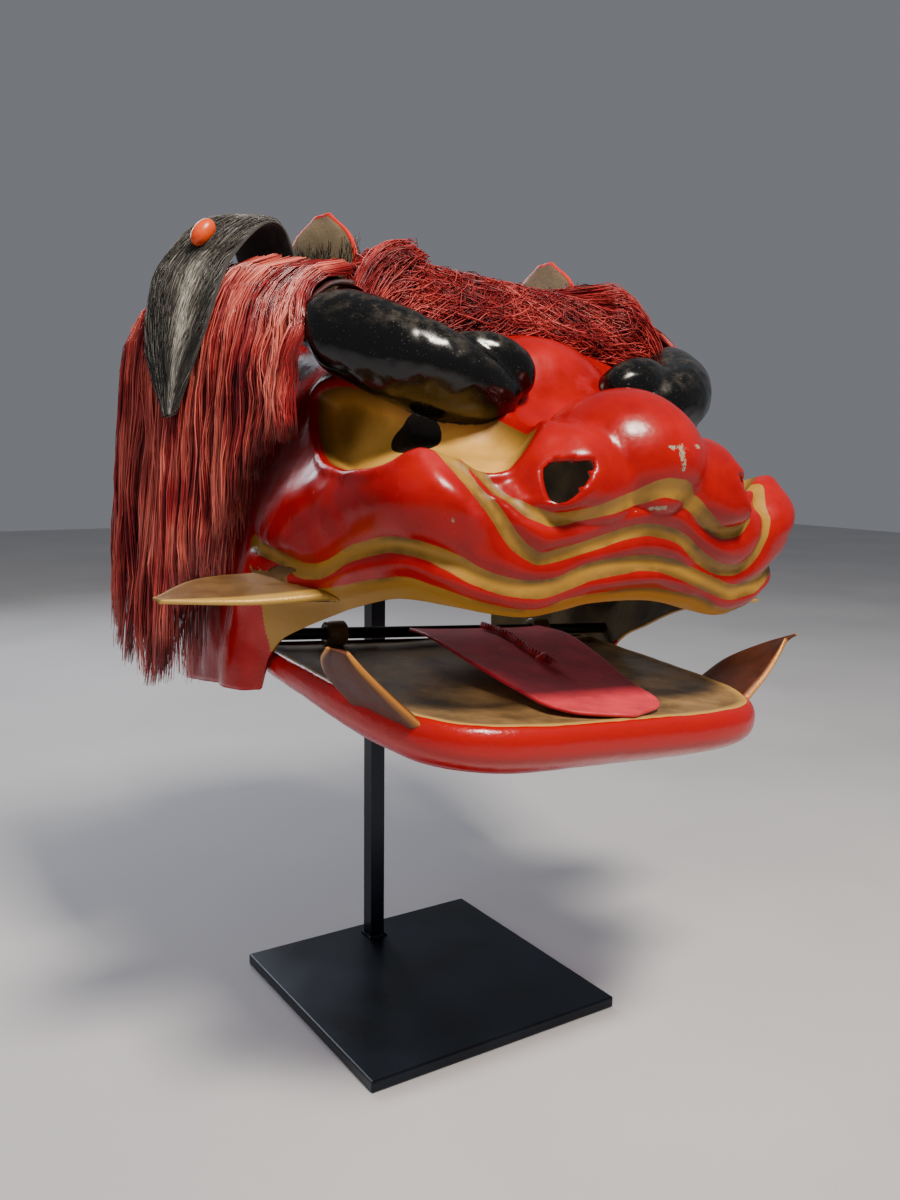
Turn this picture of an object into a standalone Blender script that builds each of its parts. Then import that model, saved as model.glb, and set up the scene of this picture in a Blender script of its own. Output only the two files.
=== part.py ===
"""Lion dance head of lacquered paper on a plain steel display stand.

The lion looks along -Y, its left is +X, and Z is up. The origin is the centre of the stand's underside.
Units are metres. Tables hold shares of the named sizes, one row for each section, fold or lobe.
"""

import math

import bmesh
import bpy
import numpy as np
from mathutils import Matrix, Vector

# Head shell
HEAD_LENGTH = 0.360  # muzzle to rear arch
HEAD_WIDTH = 0.314  # over the cheeks
HEAD_HEIGHT = 0.285  # lowest rim to crown
HEAD_LIFT = 0.213  # lowest rim above the table
HEAD_TILT = math.radians(3.8)  # the head leans to its left on the stand
HEAD_SHIFT = (-0.009, -0.014, 0.008)
SHELL_WALL = 0.003
SEAT_GAP = 0.0003  # clearance between pieces that meet

# Face relief
GROOVE_DEPTH = 0.0045
GROOVE_HALF_WIDTH = 0.0065
LIP_ROLL = 0.0035
LIP_TUCK = 0.007
LIP_TUCK_END = (58, 74)  # degrees round from straight ahead
EYE_DEPTH = 0.016
EYE_EDGE = 0.010  # width of the slope round the eye
NOSTRIL_WIDTH = 0.026
NOSTRIL_HEIGHT = 0.021

# Jaw
JAW_WIDTH = 0.279
JAW_SQUARE = 5.0  # power of the outline's superellipse
JAW_REAR_Y = 0.014
JAW_REAR_THIN = 0.35  # share of the depth lost towards the rear
JAW_LENGTH = 0.213  # rear edge to front rim
JAW_DEPTH = 0.032
JAW_RIM_HEIGHT = 0.245  # front rim above the table
JAW_REAR_RISE = 0.013  # how much higher the rim lies at the rear
HINGE_Y = 0.008
HINGE_Z = 0.264
HINGE_ROD_RADIUS = 0.004
HINGE_CLEARANCE = 0.0005
LUG_WALL = 0.004
LUG_WIDTH = 0.014

# Fangs, tongue and cord
LOWER_FANG_HEIGHT = 0.034
FANG_THICKNESS = 0.007
TONGUE_WIDTH = 0.084
TONGUE_LENGTH = 0.160
TONGUE_THICKNESS = 0.002
CORD_DIAMETER = 0.005

# Ears, hair
EAR_THICKNESS = 0.006
BEAD_LENGTH = 0.020
CUP_WALL = 0.0035
MANE_DEPTH = 0.036
LOCK_RELIEF = 0.004

# Stand
PLATE_SIDE = 0.200
PLATE_THICKNESS = 0.008
PLATE_ROUND = 0.0012
POST_SIDE = 0.012
POST_Y = 0.079
CRADLE_WIDTH = 0.110
CRADLE_LENGTH = 0.050
CRADLE_DEPTH = 0.014

# Places, turns and counts of smaller things
NOSTRIL_PLACE = (0.400, -0.545, 0.567)
NOSTRIL_REACH = 0.060
NOSTRIL_TURN = math.radians(36)
NOSTRIL_TILT = math.radians(8)
BEAD_LEVEL = 3  # loop and column of the ear that the bead is sewn to
BEAD_COLUMN = 2
BEAD_STANDS = 0.30  # share of its width by which its middle stands off the ear
BEAD_WIDTH = 0.013
LOBE_HEART = (0, -0.1, 0.4)  # shares of the point that the brows face away from
LOBE_END = 0.12  # share of a lobe's size left at its ends
LOBE_ROUNDNESS = 0.55
LEAF_RIM = 0.25  # share of a leaf's thickness left at its rim
LEAF_CROWN = 0.6
LEAF_TAPER = 0.65  # share of the thickness lost towards its tip
MANE_LOCKS = 7
MANE_LEVELS = 7
MANE_STEPS = 21
MANE_CROWDING = 1.4  # above 1 the levels crowd towards the top
MANE_ROOT_DROP = 0.085
MANE_SHOULDER = 0.070
MANE_CLEARANCE = 0.003
MANE_EDGE = 0.005  # least thickness
CROWN_HAIR_X = 0.735  # share of HALF_WIDTH
CROWN_STEPS = 15
CROWN_END_DROP = 0.30
CROWN_END_POWER = 10
CROWN_SECTIONS = 17
CROWN_RIPPLE = 9
CROWN_TWIST = 2.0
CROWN_SEAT = ((0.340, 0.720), (-0.140, 0.640))
CROWN_PASS = (0.44, 0.50)  # shares of HALF_WIDTH between which the hair narrows to pass the cups
CROWN_END_LENGTH = 0.24  # share of the hair's length left in front of the cups
LOWER_FANG_FRONT = 0.855  # shares of JAW_LENGTH from the rear edge
LOWER_FANG_REAR = 0.590
LOWER_FANG_INSET = (0.890, 0.985)  # shares of half the jaw's width, at the fang's front and rear
LOWER_FANG_FLARE = 0.040
LOWER_FANG_LEAN = (0.10, -0.82)  # shares of its length by which the tip's front and rear move back
TONGUE_INSET = 0.004
TONGUE_STEPS = 12
TONGUE_COLUMNS = 7
TONGUE_SEAT = 0.0004
CORD_START = 0.53  # shares of TONGUE_LENGTH from the tip
CORD_END = 0.97
CORD_STEPS = 14
CRADLE_HEIGHT = 0.950  # share of HEAD_HEIGHT
LUG_PLACE = 0.62  # share of half the jaw's width
SHELL_ROWS = 28
SHELL_STEPS = 15
SHELL_CROWDING = 1.25  # above 1 the rows crowd towards the lip
RIM_FADE = 0.12  # share of the rows over which the rim's wave dies out
CURVE_STEPS = 240
SLOPE_STEP = 0.5  # degrees
MERGE = 0.00005
JAW_STEPS = 25
SIDES = ((-1, "right"), (1, "left"))
JAW_PIECES = ("lower_jaw", "lower_fang_right", "lower_fang_left", "tongue", "tongue_cord")

# Colours, linear
RED = (0.60, 0.012, 0.015)
BLACK = (0.012, 0.012, 0.013)
GOLD = (0.36, 0.20, 0.045)
CRIMSON = (0.25, 0.02, 0.025)
FUR = (0.08, 0.075, 0.07)
ORANGE = (0.70, 0.10, 0.02)
STEEL = (0.015, 0.018, 0.025)
TONGUE_RED = (0.45, 0.012, 0.03)

HALF_WIDTH = HEAD_WIDTH / 2

# Ribs of the shell from the lip's rim round to the rear arch. *_y are shares of HEAD_LENGTH from the
# stand's centre, *_z of HEAD_HEIGHT above the lowest rim, width of HALF_WIDTH; square is the power of the
# superellipse that the arch follows.
RIB_COLUMNS = ("foot_y", "foot_z", "knee_y", "knee_z", "apex_y", "apex_z", "width", "square")
RIBS = (
    (-0.019, 0.060, -0.056, 0.290, -0.520, 0.320, 0.925, 4.5),
    (0.006, 0.056, -0.028, 0.354, -0.547, 0.411, 0.962, 5.0),
    (0.033, 0.053, 0.000, 0.425, -0.558, 0.484, 0.987, 5.0),
    (0.067, 0.049, 0.033, 0.488, -0.556, 0.551, 1.000, 5.0),
    (0.106, 0.046, 0.067, 0.537, -0.506, 0.632, 0.985, 4.0),
    (0.144, 0.039, 0.100, 0.579, -0.361, 0.684, 0.955, 3.5),
    (0.183, 0.032, 0.133, 0.621, -0.300, 0.772, 0.955, 3.1),
    (0.222, 0.025, 0.172, 0.656, -0.222, 0.860, 0.955, 3.2),
    (0.264, 0.018, 0.222, 0.684, -0.083, 0.923, 0.945, 3.2),
    (0.306, 0.011, 0.292, 0.684, 0.111, 0.979, 0.943, 3.1),
    (0.347, 0.004, 0.356, 0.579, 0.278, 0.993, 0.930, 3.0),
    (0.389, 0.000, 0.417, 0.544, 0.422, 0.972, 0.905, 2.6),
)

# Swellings of the face: centre and reach as shares of HALF_WIDTH, HEAD_LENGTH and HEAD_HEIGHT,
# height of HEAD_HEIGHT; soft is the power of the fall-off.
BUMP_COLUMNS = ("x", "y", "z", "reach_x", "reach_y", "reach_z", "height", "soft")
ROUND_BUMPS = (
    (0.00, -0.475, 0.650, 0.310, 0.140, 0.165, 0.110, 0.8),  # nose ball
    (0.300, -0.520, 0.600, 0.260, 0.130, 0.115, 0.045, 0.8),  # nostril wing
)
SOFT_BUMPS = (
    (0.82, -0.440, 0.545, 0.250, 0.170, 0.150, 0.032, 1.5),  # cheek bulge
    (0.00, -0.265, 0.825, 0.300, 0.120, 0.110, 0.035, 1.5),  # forehead
    (0.60, -0.530, 0.600, 0.260, 0.150, 0.120, -0.040, 1.5),  # hollow between nostril and cheek
)

# Gold grooves and the lip's edge: degrees round from straight ahead, height as a share of HEAD_HEIGHT
GROOVE_TOP = (
    (0, 0.551), (3, 0.551), (8, 0.532), (14, 0.507), (19, 0.496), (24, 0.509), (27, 0.547), (30, 0.582),
    (33, 0.607),
)
GROOVE_MIDDLE = (
    (0, 0.484), (4, 0.481), (9, 0.463), (15, 0.437), (20, 0.419), (23, 0.425), (25, 0.449), (28, 0.498),
    (31, 0.544), (34, 0.582), (37, 0.607),
)
GROOVE_BOTTOM = (
    (0, 0.421), (6, 0.411), (12, 0.393), (17, 0.372), (21, 0.361), (25, 0.368), (30, 0.386), (34, 0.411),
    (38, 0.428), (42, 0.432), (46, 0.421), (51, 0.400), (57, 0.368), (64, 0.354), (71, 0.365), (79, 0.379),
    (93, 0.396),
)
LIP_EDGE = (
    (0, 0.375), (5, 0.372), (10, 0.361), (15, 0.344), (20, 0.333), (25, 0.333), (29, 0.344), (35, 0.365),
    (40, 0.379), (46, 0.365), (55, 0.340), (65, 0.319), (75, 0.291), (85, 0.267), (100, 0.180),
)
RIM_WAVE = (
    (0, 0.014), (8, 0.008), (15, -0.008), (22, -0.018), (27, -0.014), (35, 0.000), (41, 0.010), (50, 0.000),
    (60, -0.014), (70, -0.014), (80, 0.000), (100, 0.000),
)
# Eye socket's lower and upper edges
EYE_LOWER = (
    (20, 0.660), (27, 0.622), (32, 0.610), (37, 0.604), (41, 0.580), (44, 0.560), (52, 0.558), (60, 0.575),
    (68, 0.610), (74, 0.650), (77, 0.700),
)
EYE_UPPER = ((20, 0.665), (27, 0.700), (37, 0.715), (48, 0.725), (60, 0.730), (70, 0.725), (77, 0.705))

# Brow lobes, left side, from the outer end to the inner: x, y and z of the spine as shares of HALF_WIDTH,
# HEAD_LENGTH and HEAD_HEIGHT, then half height and half depth as shares of HEAD_HEIGHT
BROW_LONG = (
    (0.945, -0.125, 0.835, 0.060, 0.055),
    (0.870, -0.165, 0.845, 0.092, 0.080),
    (0.750, -0.225, 0.815, 0.095, 0.090),
    (0.600, -0.285, 0.770, 0.085, 0.100),
    (0.420, -0.315, 0.735, 0.075, 0.090),
    (0.260, -0.320, 0.725, 0.055, 0.070),
)
BROW_SHORT = (
    (0.560, -0.265, 0.850, 0.030, 0.050),
    (0.430, -0.285, 0.830, 0.055, 0.075),
    (0.300, -0.300, 0.800, 0.062, 0.080),
    (0.200, -0.305, 0.760, 0.060, 0.070),
)

# Leaf edges, left side, from root to tip, as shares of HALF_WIDTH, HEAD_LENGTH and HEAD_HEIGHT
EAR_FRONT = ((0.67, 0.050, 0.840), (0.83, 0.040, 1.095), (1.02, 0.005, 1.005), (1.16, -0.035, 0.838),
             (1.22, 0.080, 0.662))
EAR_REAR = ((0.71, 0.260, 0.830), (0.95, 0.240, 1.120), (1.20, 0.255, 1.010), (1.27, 0.225, 0.825),
            (1.25, 0.125, 0.650))
CUP_FRONT = ((0.55, -0.030, 0.840), (0.58, 0.000, 1.060), (0.60, 0.095, 1.155))
CUP_REAR = ((0.62, 0.275, 0.840), (0.63, 0.235, 1.080), (0.61, 0.150, 1.155))
UPPER_FANG_FRONT = ((0.88, -0.270, 0.315), (1.20, -0.262, 0.300), (1.49, -0.212, 0.292))
UPPER_FANG_REAR = ((0.88, -0.030, 0.330), (1.25, -0.085, 0.320), (1.51, -0.200, 0.298))

# Mane, left side, front to rear: Y, X where the hair leaves the crown, outer X, top and hem, as shares
MANE_COLUMNS = ("y", "root", "x", "top", "hem")
MANE = (
    (-0.172, 0.745, 1.030, 0.960, 0.690),
    (-0.115, 0.745, 1.065, 0.985, 0.640),
    (-0.040, 0.750, 1.100, 1.005, 0.500),
    (0.040, 0.890, 1.140, 1.015, 0.385),
    (0.115, 0.890, 1.180, 1.020, 0.260),
    (0.155, 0.890, 1.205, 1.020, 0.130),
    (0.195, 0.900, 1.215, 1.020, 0.030),
    (0.345, 0.880, 1.250, 1.020, 0.010),
    (0.430, 0.800, 1.225, 0.990, -0.015),
)

# Crown hair, front to rear in the middle: Y and height of its skin, and then its seat inside the shell
CROWN_ROLL = (
    (-0.205, 0.850), (-0.205, 0.905), (-0.165, 0.965), (-0.080, 1.015), (0.030, 1.040), (0.120, 1.045),
    (0.220, 1.050), (0.330, 1.045), (0.405, 1.010), (0.420, 0.930),
)

# Jaw skin from the middle of its top over the rim to the middle of its bottom: scale of the outline and drop
JAW_SKIN = (
    (0.00, 0.05), (0.45, 0.09), (0.80, 0.09), (0.93, 0.05), (0.975, 0.00), (1.00, 0.06), (1.012, 0.30),
    (1.00, 0.62), (0.94, 0.90), (0.86, 1.00), (0.45, 1.00), (0.00, 1.00),
)
# Lower fang from root to tip: rise and flare as shares of its height and flare
LOWER_FANG = ((0.0, 0.0), (0.40, 0.45), (0.75, 0.80), (1.0, 1.0))
# Tongue, tip to root: distance from the front rim as a share of TONGUE_LENGTH, half width of TONGUE_WIDTH,
# and height over the jaw's top
TONGUE = (
    (0.00, 0.14, 0.0000), (0.04, 0.34, 0.0000), (0.14, 0.47, 0.0005), (0.33, 0.53, 0.0030),
    (0.58, 0.62, 0.0100), (0.83, 0.66, 0.0160), (1.00, 0.64, 0.0150),
)


def y_at(share):
    """Returns the Y of a share of the head's length."""
    return share * HEAD_LENGTH


def z_at(share):
    """Returns the height of a share of the head's height."""
    return HEAD_LIFT + share * HEAD_HEIGHT


def through(places, values, at):
    """Reads a smooth curve through the given values."""
    places = np.asarray(places, float)
    values = np.asarray(values, float)
    at = np.clip(np.asarray(at, float), places[0], places[-1])
    slopes = np.gradient(values, places, axis=0)
    low = np.clip(np.searchsorted(places, at, side="right") - 1, 0, len(places) - 2)
    step = places[low + 1] - places[low]
    part = (at - places[low]) / step
    if values.ndim > 1:
        step, part = step[..., None], part[..., None]
    square, cube = part**2, part**3
    return (
        (2 * cube - 3 * square + 1) * values[low]
        + (cube - 2 * square + part) * step * slopes[low]
        + (3 * square - 2 * cube) * values[low + 1]
        + (cube - square) * step * slopes[low + 1]
    )


def rib_points(along, count):
    """Returns one arch of the plain shell, evenly spaced from the middle to its left foot."""
    row = dict(zip(RIB_COLUMNS, through(np.linspace(0, 1, len(RIBS)), RIBS, along)))
    foot, knee, apex = (
        np.array([y_at(row[name + "_y"]), z_at(row[name + "_z"])]) for name in ("foot", "knee", "apex")
    )
    part = np.linspace(0, 1, CURVE_STEPS)[:, None]
    side = (1 - part) ** 2 * foot + 2 * part * (1 - part) * knee + part**2 * apex
    length = np.append(0, np.cumsum(np.linalg.norm(np.diff(side, axis=0), axis=1)))
    turn = np.linspace(0, math.pi / 2, CURVE_STEPS)
    climb = np.cos(turn) ** (2 / row["square"]) * length[-1]
    across = row["width"] * HALF_WIDTH * np.sin(turn) ** (2 / row["square"])
    arch = np.stack([across, np.interp(climb, length, side[:, 0]), np.interp(climb, length, side[:, 1])], -1)
    walk = np.append(0, np.cumsum(np.linalg.norm(np.diff(arch, axis=0), axis=1)))
    places = np.linspace(0, walk[-1], count)
    return np.stack([np.interp(places, walk, arch[:, axis]) for axis in range(3)], -1)


def grid_normals(points):
    """Returns the outward unit normals of a grid of points that runs round the head."""
    normals = np.cross(np.gradient(points, axis=1), np.gradient(points, axis=0))
    return normals / (np.linalg.norm(normals, axis=-1, keepdims=True) + 1e-12)


def swelling(points, rows):
    """Returns the height of each swelling at each point."""
    heights = []
    for values in rows:
        row = dict(zip(BUMP_COLUMNS, values))
        reach = (
            ((np.abs(points[..., 0]) - row["x"] * HALF_WIDTH) / (row["reach_x"] * HALF_WIDTH)) ** 2
            + ((points[..., 1] - y_at(row["y"])) / y_at(row["reach_y"])) ** 2
            + ((points[..., 2] - z_at(row["z"])) / (row["reach_z"] * HEAD_HEIGHT)) ** 2
        )
        heights.append(row["height"] * HEAD_HEIGHT * np.clip(1 - reach, 0, 1) ** row["soft"])
    return np.stack(heights)


def line_distance(degrees, heights, radius, line):
    """Returns how far above a line of the face each point lies."""
    places = [place for place, _ in line]
    shares = [share for _, share in line]
    level = z_at(through(places, shares, degrees))
    ahead = z_at(through(places, shares, degrees + SLOPE_STEP))
    slope = (ahead - level) / (radius * math.radians(SLOPE_STEP))
    return (heights - level) / np.sqrt(1 + slope**2)


def smooth_step(value, low, high):
    """Returns 0 below low, 1 above high and an even rise between."""
    part = np.clip((value - low) / (high - low), 0, 1)
    return part * part * (3 - 2 * part)


def face_relief(points):
    """Returns how far each point of the plain shell moves out for the face's forms."""
    degrees = np.degrees(np.arctan2(np.abs(points[..., 0]), -points[..., 1]))
    heights = points[..., 2]
    radius = np.hypot(points[..., 0], points[..., 1])
    relief = swelling(points, ROUND_BUMPS).max(axis=0) + swelling(points, SOFT_BUMPS).sum(axis=0)
    front = 1 - smooth_step(degrees, 90, 100)
    for line in (GROOVE_TOP, GROOVE_MIDDLE, GROOVE_BOTTOM):
        off = line_distance(degrees, heights, radius, line) / GROOVE_HALF_WIDTH
        near = 1 - smooth_step(degrees, line[-1][0] - 1, line[-1][0] + 2)
        relief = relief - GROOVE_DEPTH * np.exp(-(off**2)) * near * front
    above = line_distance(degrees, heights, radius, LIP_EDGE)
    roll = np.exp(-(((above - GROOVE_HALF_WIDTH) / GROOVE_HALF_WIDTH) ** 2))
    tuck = smooth_step(-above, 0, 2 * GROOVE_HALF_WIDTH)
    relief = relief + LIP_ROLL * roll * front - LIP_TUCK * tuck * (1 - smooth_step(degrees, *LIP_TUCK_END))
    over = line_distance(degrees, heights, radius, EYE_LOWER)
    under = -line_distance(degrees, heights, radius, EYE_UPPER)
    inside = smooth_step(np.minimum(over, under), 0, EYE_EDGE)
    sides = smooth_step(degrees, EYE_LOWER[0][0], EYE_LOWER[1][0])
    sides = sides * (1 - smooth_step(degrees, EYE_LOWER[-2][0], EYE_LOWER[-1][0]))
    return relief - EYE_DEPTH * inside * sides


def shell_grid(rows, columns, lift=0.0):
    """Returns the shell's outer skin, rows from lip to rear and columns from right foot to left foot.

    lift moves the skin out along its normals.
    """
    spread = np.linspace(0, 1, rows) ** SHELL_CROWDING
    left = np.stack([rib_points(along, columns) for along in spread])
    right = left[:, :0:-1] * (-1, 1, 1)
    points = np.concatenate([right, left], axis=1)
    degrees = np.degrees(np.arctan2(np.abs(points[..., 0]), -points[..., 1]))
    wave = through([place for place, _ in RIM_WAVE], [share for _, share in RIM_WAVE], degrees)
    fade = (1 - smooth_step(spread, 0, RIM_FADE))[:, None]
    points[..., 2] += wave * fade * HEAD_HEIGHT
    points = points + grid_normals(points) * face_relief(points)[..., None]
    return points + grid_normals(points) * lift


def grid_faces(rows, columns, closed=False):
    """Returns the triangles of a grid, split alike wherever the grid is used; a closed one wraps round."""
    faces = []
    for row in range(rows - 1):
        for column in range(columns if closed else columns - 1):
            one, two = row * columns + column, row * columns + (column + 1) % columns
            faces += [(one, two, two + columns), (one, two + columns, one + columns)]
    return faces


def mesh_of(name, points, faces, closed=True):
    """Returns a mesh with its doubles merged; a closed one has its faces pointing out."""
    mesh = bpy.data.meshes.new(name)
    mesh.from_pydata(np.asarray(points).reshape(-1, 3).tolist(), [], faces)
    shape = bmesh.new()
    shape.from_mesh(mesh)
    bmesh.ops.remove_doubles(shape, verts=shape.verts, dist=MERGE)
    if closed:
        bmesh.ops.recalc_face_normals(shape, faces=shape.faces)
    shape.to_mesh(mesh)
    shape.free()
    mesh.shade_smooth()
    return mesh


def end_faces(first, count):
    """Returns the faces that close a loop, as a strip between its two sides."""
    faces = []
    for step in range((count - 1) // 2):
        corners = (step, step + 1, count - 2 - step, count - 1 - step)
        faces.append(tuple(dict.fromkeys(first + corner for corner in corners)))
    return faces


def solid_of_loops(name, loops):
    """Returns a closed mesh lofted through loops of points."""
    loops = np.asarray(loops)
    rows, columns = loops.shape[:2]
    faces = grid_faces(rows, columns, closed=True)
    faces += end_faces(0, columns) + end_faces((rows - 1) * columns, columns)
    return mesh_of(name, loops, faces)


def finish(name, mesh, colour, roughness, metallic, collection):
    """Adds a mesh as a named object with a material of its own."""
    material = bpy.data.materials.new(name)
    material.use_nodes = True
    shader = material.node_tree.nodes["Principled BSDF"]
    shader.inputs["Base Color"].default_value = (*colour, 1.0)
    shader.inputs["Roughness"].default_value = roughness
    shader.inputs["Metallic"].default_value = metallic
    mesh.materials.append(material)
    added = bpy.data.objects.new(name, mesh)
    collection.objects.link(added)
    return added


def cutter(name, mesh, collection):
    """Adds a mesh that only cuts others."""
    added = bpy.data.objects.new(name, mesh)
    added.hide_render = True
    added.display_type = "WIRE"
    collection.objects.link(added)
    return added


def boolean(target, other, operation="DIFFERENCE", solver="EXACT"):
    """Cuts, joins or crosses one object with another."""
    change = target.modifiers.new(f"{operation.title()} {other.name}", "BOOLEAN")
    change.operation = operation
    change.solver = solver
    change.object = other


def mirrored(points, side):
    """Returns points given for the left side (+X), on the side asked for."""
    return np.asarray(points) * (side, 1, 1)


def place(x_share, y_share, z_share):
    """Returns a point of the head from its three shares."""
    return np.array([x_share * HALF_WIDTH, y_at(y_share), z_at(z_share)])


def lobe(rows, sides=12, steps=11):
    """Returns loops along a spine: x, y, z, half height and half depth as shares, with round ends."""
    rows = np.asarray(rows, float)
    turn = np.linspace(0, math.pi, steps)
    along = (1 - np.cos(turn)) / 2
    taper = np.clip(np.sin(turn), LOBE_END, 1) ** LOBE_ROUNDNESS
    read = through(np.linspace(0, 1, len(rows)), rows, along)
    spine = np.stack([place(*row[:3]) for row in read])
    run = np.gradient(spine, axis=0)
    run /= np.linalg.norm(run, axis=1, keepdims=True)
    out = spine - place(*LOBE_HEART)
    out -= (out * run).sum(axis=1, keepdims=True) * run
    out /= np.linalg.norm(out, axis=1, keepdims=True)
    up = np.cross(run, out)
    angles = np.linspace(0, 2 * math.pi, sides, endpoint=False)
    loops = []
    for centre, rise, away, row, narrow in zip(spine, up, out, read, taper):
        half_height, half_depth = row[3] * HEAD_HEIGHT * narrow, row[4] * HEAD_HEIGHT * narrow
        ring = np.cos(angles)[:, None] * rise * half_height + np.sin(angles)[:, None] * away * half_depth
        loops.append(centre + ring)
    return np.array(loops)


def leaf(front, rear, thickness, steps=8, across=5):
    """Returns loops of a flat leaf between its two edges, thick in the middle and thin at the rim."""
    places = np.linspace(0, 1, len(front))
    along = np.linspace(0, 1, steps)
    front, rear = (through(places, np.asarray(edge, float), along) for edge in (front, rear))
    run = np.gradient((front + rear) / 2, axis=0)
    facing = np.cross(run, rear - front)
    facing /= np.linalg.norm(facing, axis=1, keepdims=True)
    part = np.linspace(0, 1, across)[:, None]
    full = LEAF_RIM + (1 - LEAF_RIM) * np.sin(math.pi * part) ** LEAF_CROWN
    loops = []
    for step, (one, two, out) in enumerate(zip(front, rear, facing)):
        line = one + (two - one) * part
        half = out * thickness / 2 * full * (1 - LEAF_TAPER * step / (steps - 1))
        loops.append(np.concatenate([line + half, (line - half)[::-1]]))
    return np.array(loops)


def grown(mesh, distance):
    """Returns a copy of a closed mesh with its skin moved out."""
    copy = mesh.copy()
    shape = bmesh.new()
    shape.from_mesh(copy)
    shape.normal_update()
    moves = [vertex.normal * distance for vertex in shape.verts]
    for vertex, move in zip(shape.verts, moves):
        vertex.co += move
    shape.to_mesh(copy)
    shape.free()
    return copy


def primitive(name, make, scale, **settings):
    """Returns a mesh made by one of bmesh's own shapes, scaled along X, Y and Z."""
    mesh = bpy.data.meshes.new(name)
    shape = bmesh.new()
    made = make(shape, **settings)
    bmesh.ops.scale(shape, vec=scale, verts=made["verts"])
    shape.to_mesh(mesh)
    shape.free()
    return mesh


def block(name, width, length, height):
    """Returns a plain block centred on the origin."""
    return primitive(name, bmesh.ops.create_cube, (width, length, height), size=1.0)


def rod_mesh(name, radius, length, sides=20):
    """Returns a round rod along X."""
    mesh = primitive(name, bmesh.ops.create_cone, (1, 1, 1), cap_ends=True, segments=sides,
                     radius1=radius, radius2=radius, depth=length)
    mesh.transform(Matrix.Rotation(math.pi / 2, 4, "Y"))
    return mesh


def jaw_top(y):
    """Returns the height of the jaw's rim at a Y."""
    return JAW_RIM_HEIGHT + JAW_REAR_RISE * (y - JAW_REAR_Y + JAW_LENGTH) / JAW_LENGTH


def jaw_grid(columns):
    """Returns loops round the jaw, from the middle of its bottom over the rim to the middle of its top."""
    turn = np.linspace(-math.pi / 2, math.pi / 2, CURVE_STEPS + 1)
    across = np.sign(turn) * np.abs(np.sin(turn)) ** (2 / JAW_SQUARE) * JAW_WIDTH / 2
    ahead = np.abs(np.cos(turn)) ** (2 / JAW_SQUARE) * JAW_LENGTH
    walk = np.append(0, np.cumsum(np.hypot(np.diff(across), np.diff(ahead))))
    places = np.linspace(0, walk[-1], columns)
    across, ahead = np.interp(places, walk, across), np.interp(places, walk, ahead)
    rows = []
    for scale, drop in reversed(JAW_SKIN):
        y = JAW_REAR_Y - ahead * scale
        depth = JAW_DEPTH * (1 - JAW_REAR_THIN * (y - JAW_REAR_Y + JAW_LENGTH) / JAW_LENGTH)
        rows.append(np.stack([across * scale, y, jaw_top(y) - drop * depth], -1))
    return np.array(rows)


def empty(name, location, parent, collection):
    """Adds an empty that carries other objects."""
    added = bpy.data.objects.new(name, None)
    added.location = location
    added.parent = parent
    added.empty_display_size = 0.02
    collection.objects.link(added)
    return added


def hang(piece, carrier, origin=(0, 0, 0)):
    """Parents a piece modelled in the head's own frame, whose carrier stands at origin in that frame."""
    piece.parent = carrier
    piece.location -= Vector(origin)


def build_shell(parts, cutters):
    """Makes the hollow shell with its nostrils, and the blocks that seat and bound other pieces."""
    skin = shell_grid(SHELL_ROWS, SHELL_STEPS)
    mesh = mesh_of("head_shell", skin, grid_faces(*skin.shape[:2]), closed=False)
    shell = finish("head_shell", mesh, RED, 0.25, 0.0, parts)
    wall = shell.modifiers.new("Paper wall", "SOLIDIFY")
    wall.thickness = SHELL_WALL
    wall.offset = -1.0
    for side, name in SIDES:
        size = (NOSTRIL_WIDTH, NOSTRIL_HEIGHT, NOSTRIL_REACH)
        mesh = primitive(f"nostril_{name}", bmesh.ops.create_cone, size, cap_ends=True, segments=16,
                         radius1=0.5, radius2=0.5, depth=1.0)
        hole = cutter(f"nostril_{name}", mesh, cutters)
        hole.rotation_euler = (math.pi / 2 + NOSTRIL_TILT, 0, side * NOSTRIL_TURN)
        hole.location = mirrored(place(*NOSTRIL_PLACE), side)
        boolean(shell, hole)
    core = cutter("shell_core", grown(solid_of_loops("shell_core", skin), SEAT_GAP), cutters)
    inner = shell_grid(SHELL_ROWS, SHELL_STEPS, -SHELL_WALL - SEAT_GAP)
    hollow = cutter("shell_hollow", solid_of_loops("shell_hollow", inner), cutters)
    return core, hollow


def build_brow(side, name, core, parts, cutters):
    """Makes one brow of two fused lobes, seated on the shell, and returns what it cuts from the hair."""
    long_lobe = solid_of_loops(f"brow_{name}", mirrored(lobe(BROW_LONG), side))
    short_lobe = solid_of_loops(f"brow_short_{name}", mirrored(lobe(BROW_SHORT), side))
    brow = finish(f"brow_{name}", long_lobe, BLACK, 0.15, 0.0, parts)
    short = cutter(f"brow_short_{name}", short_lobe, cutters)
    seats = [
        cutter(f"brow_long_seat_{name}", grown(brow.data, SEAT_GAP), cutters),
        cutter(f"brow_short_seat_{name}", grown(short.data, SEAT_GAP), cutters),
    ]
    boolean(brow, short, "UNION")
    boolean(brow, core)
    return seats


def leaf_loops(front, rear, thickness, side):
    """Returns the loops of a flat leaf such as a fang or an ear, from the shares of its two edges."""
    edges = [[place(*row) for row in edge] for edge in (front, rear)]
    return mirrored(leaf(*edges, thickness), side)


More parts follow.
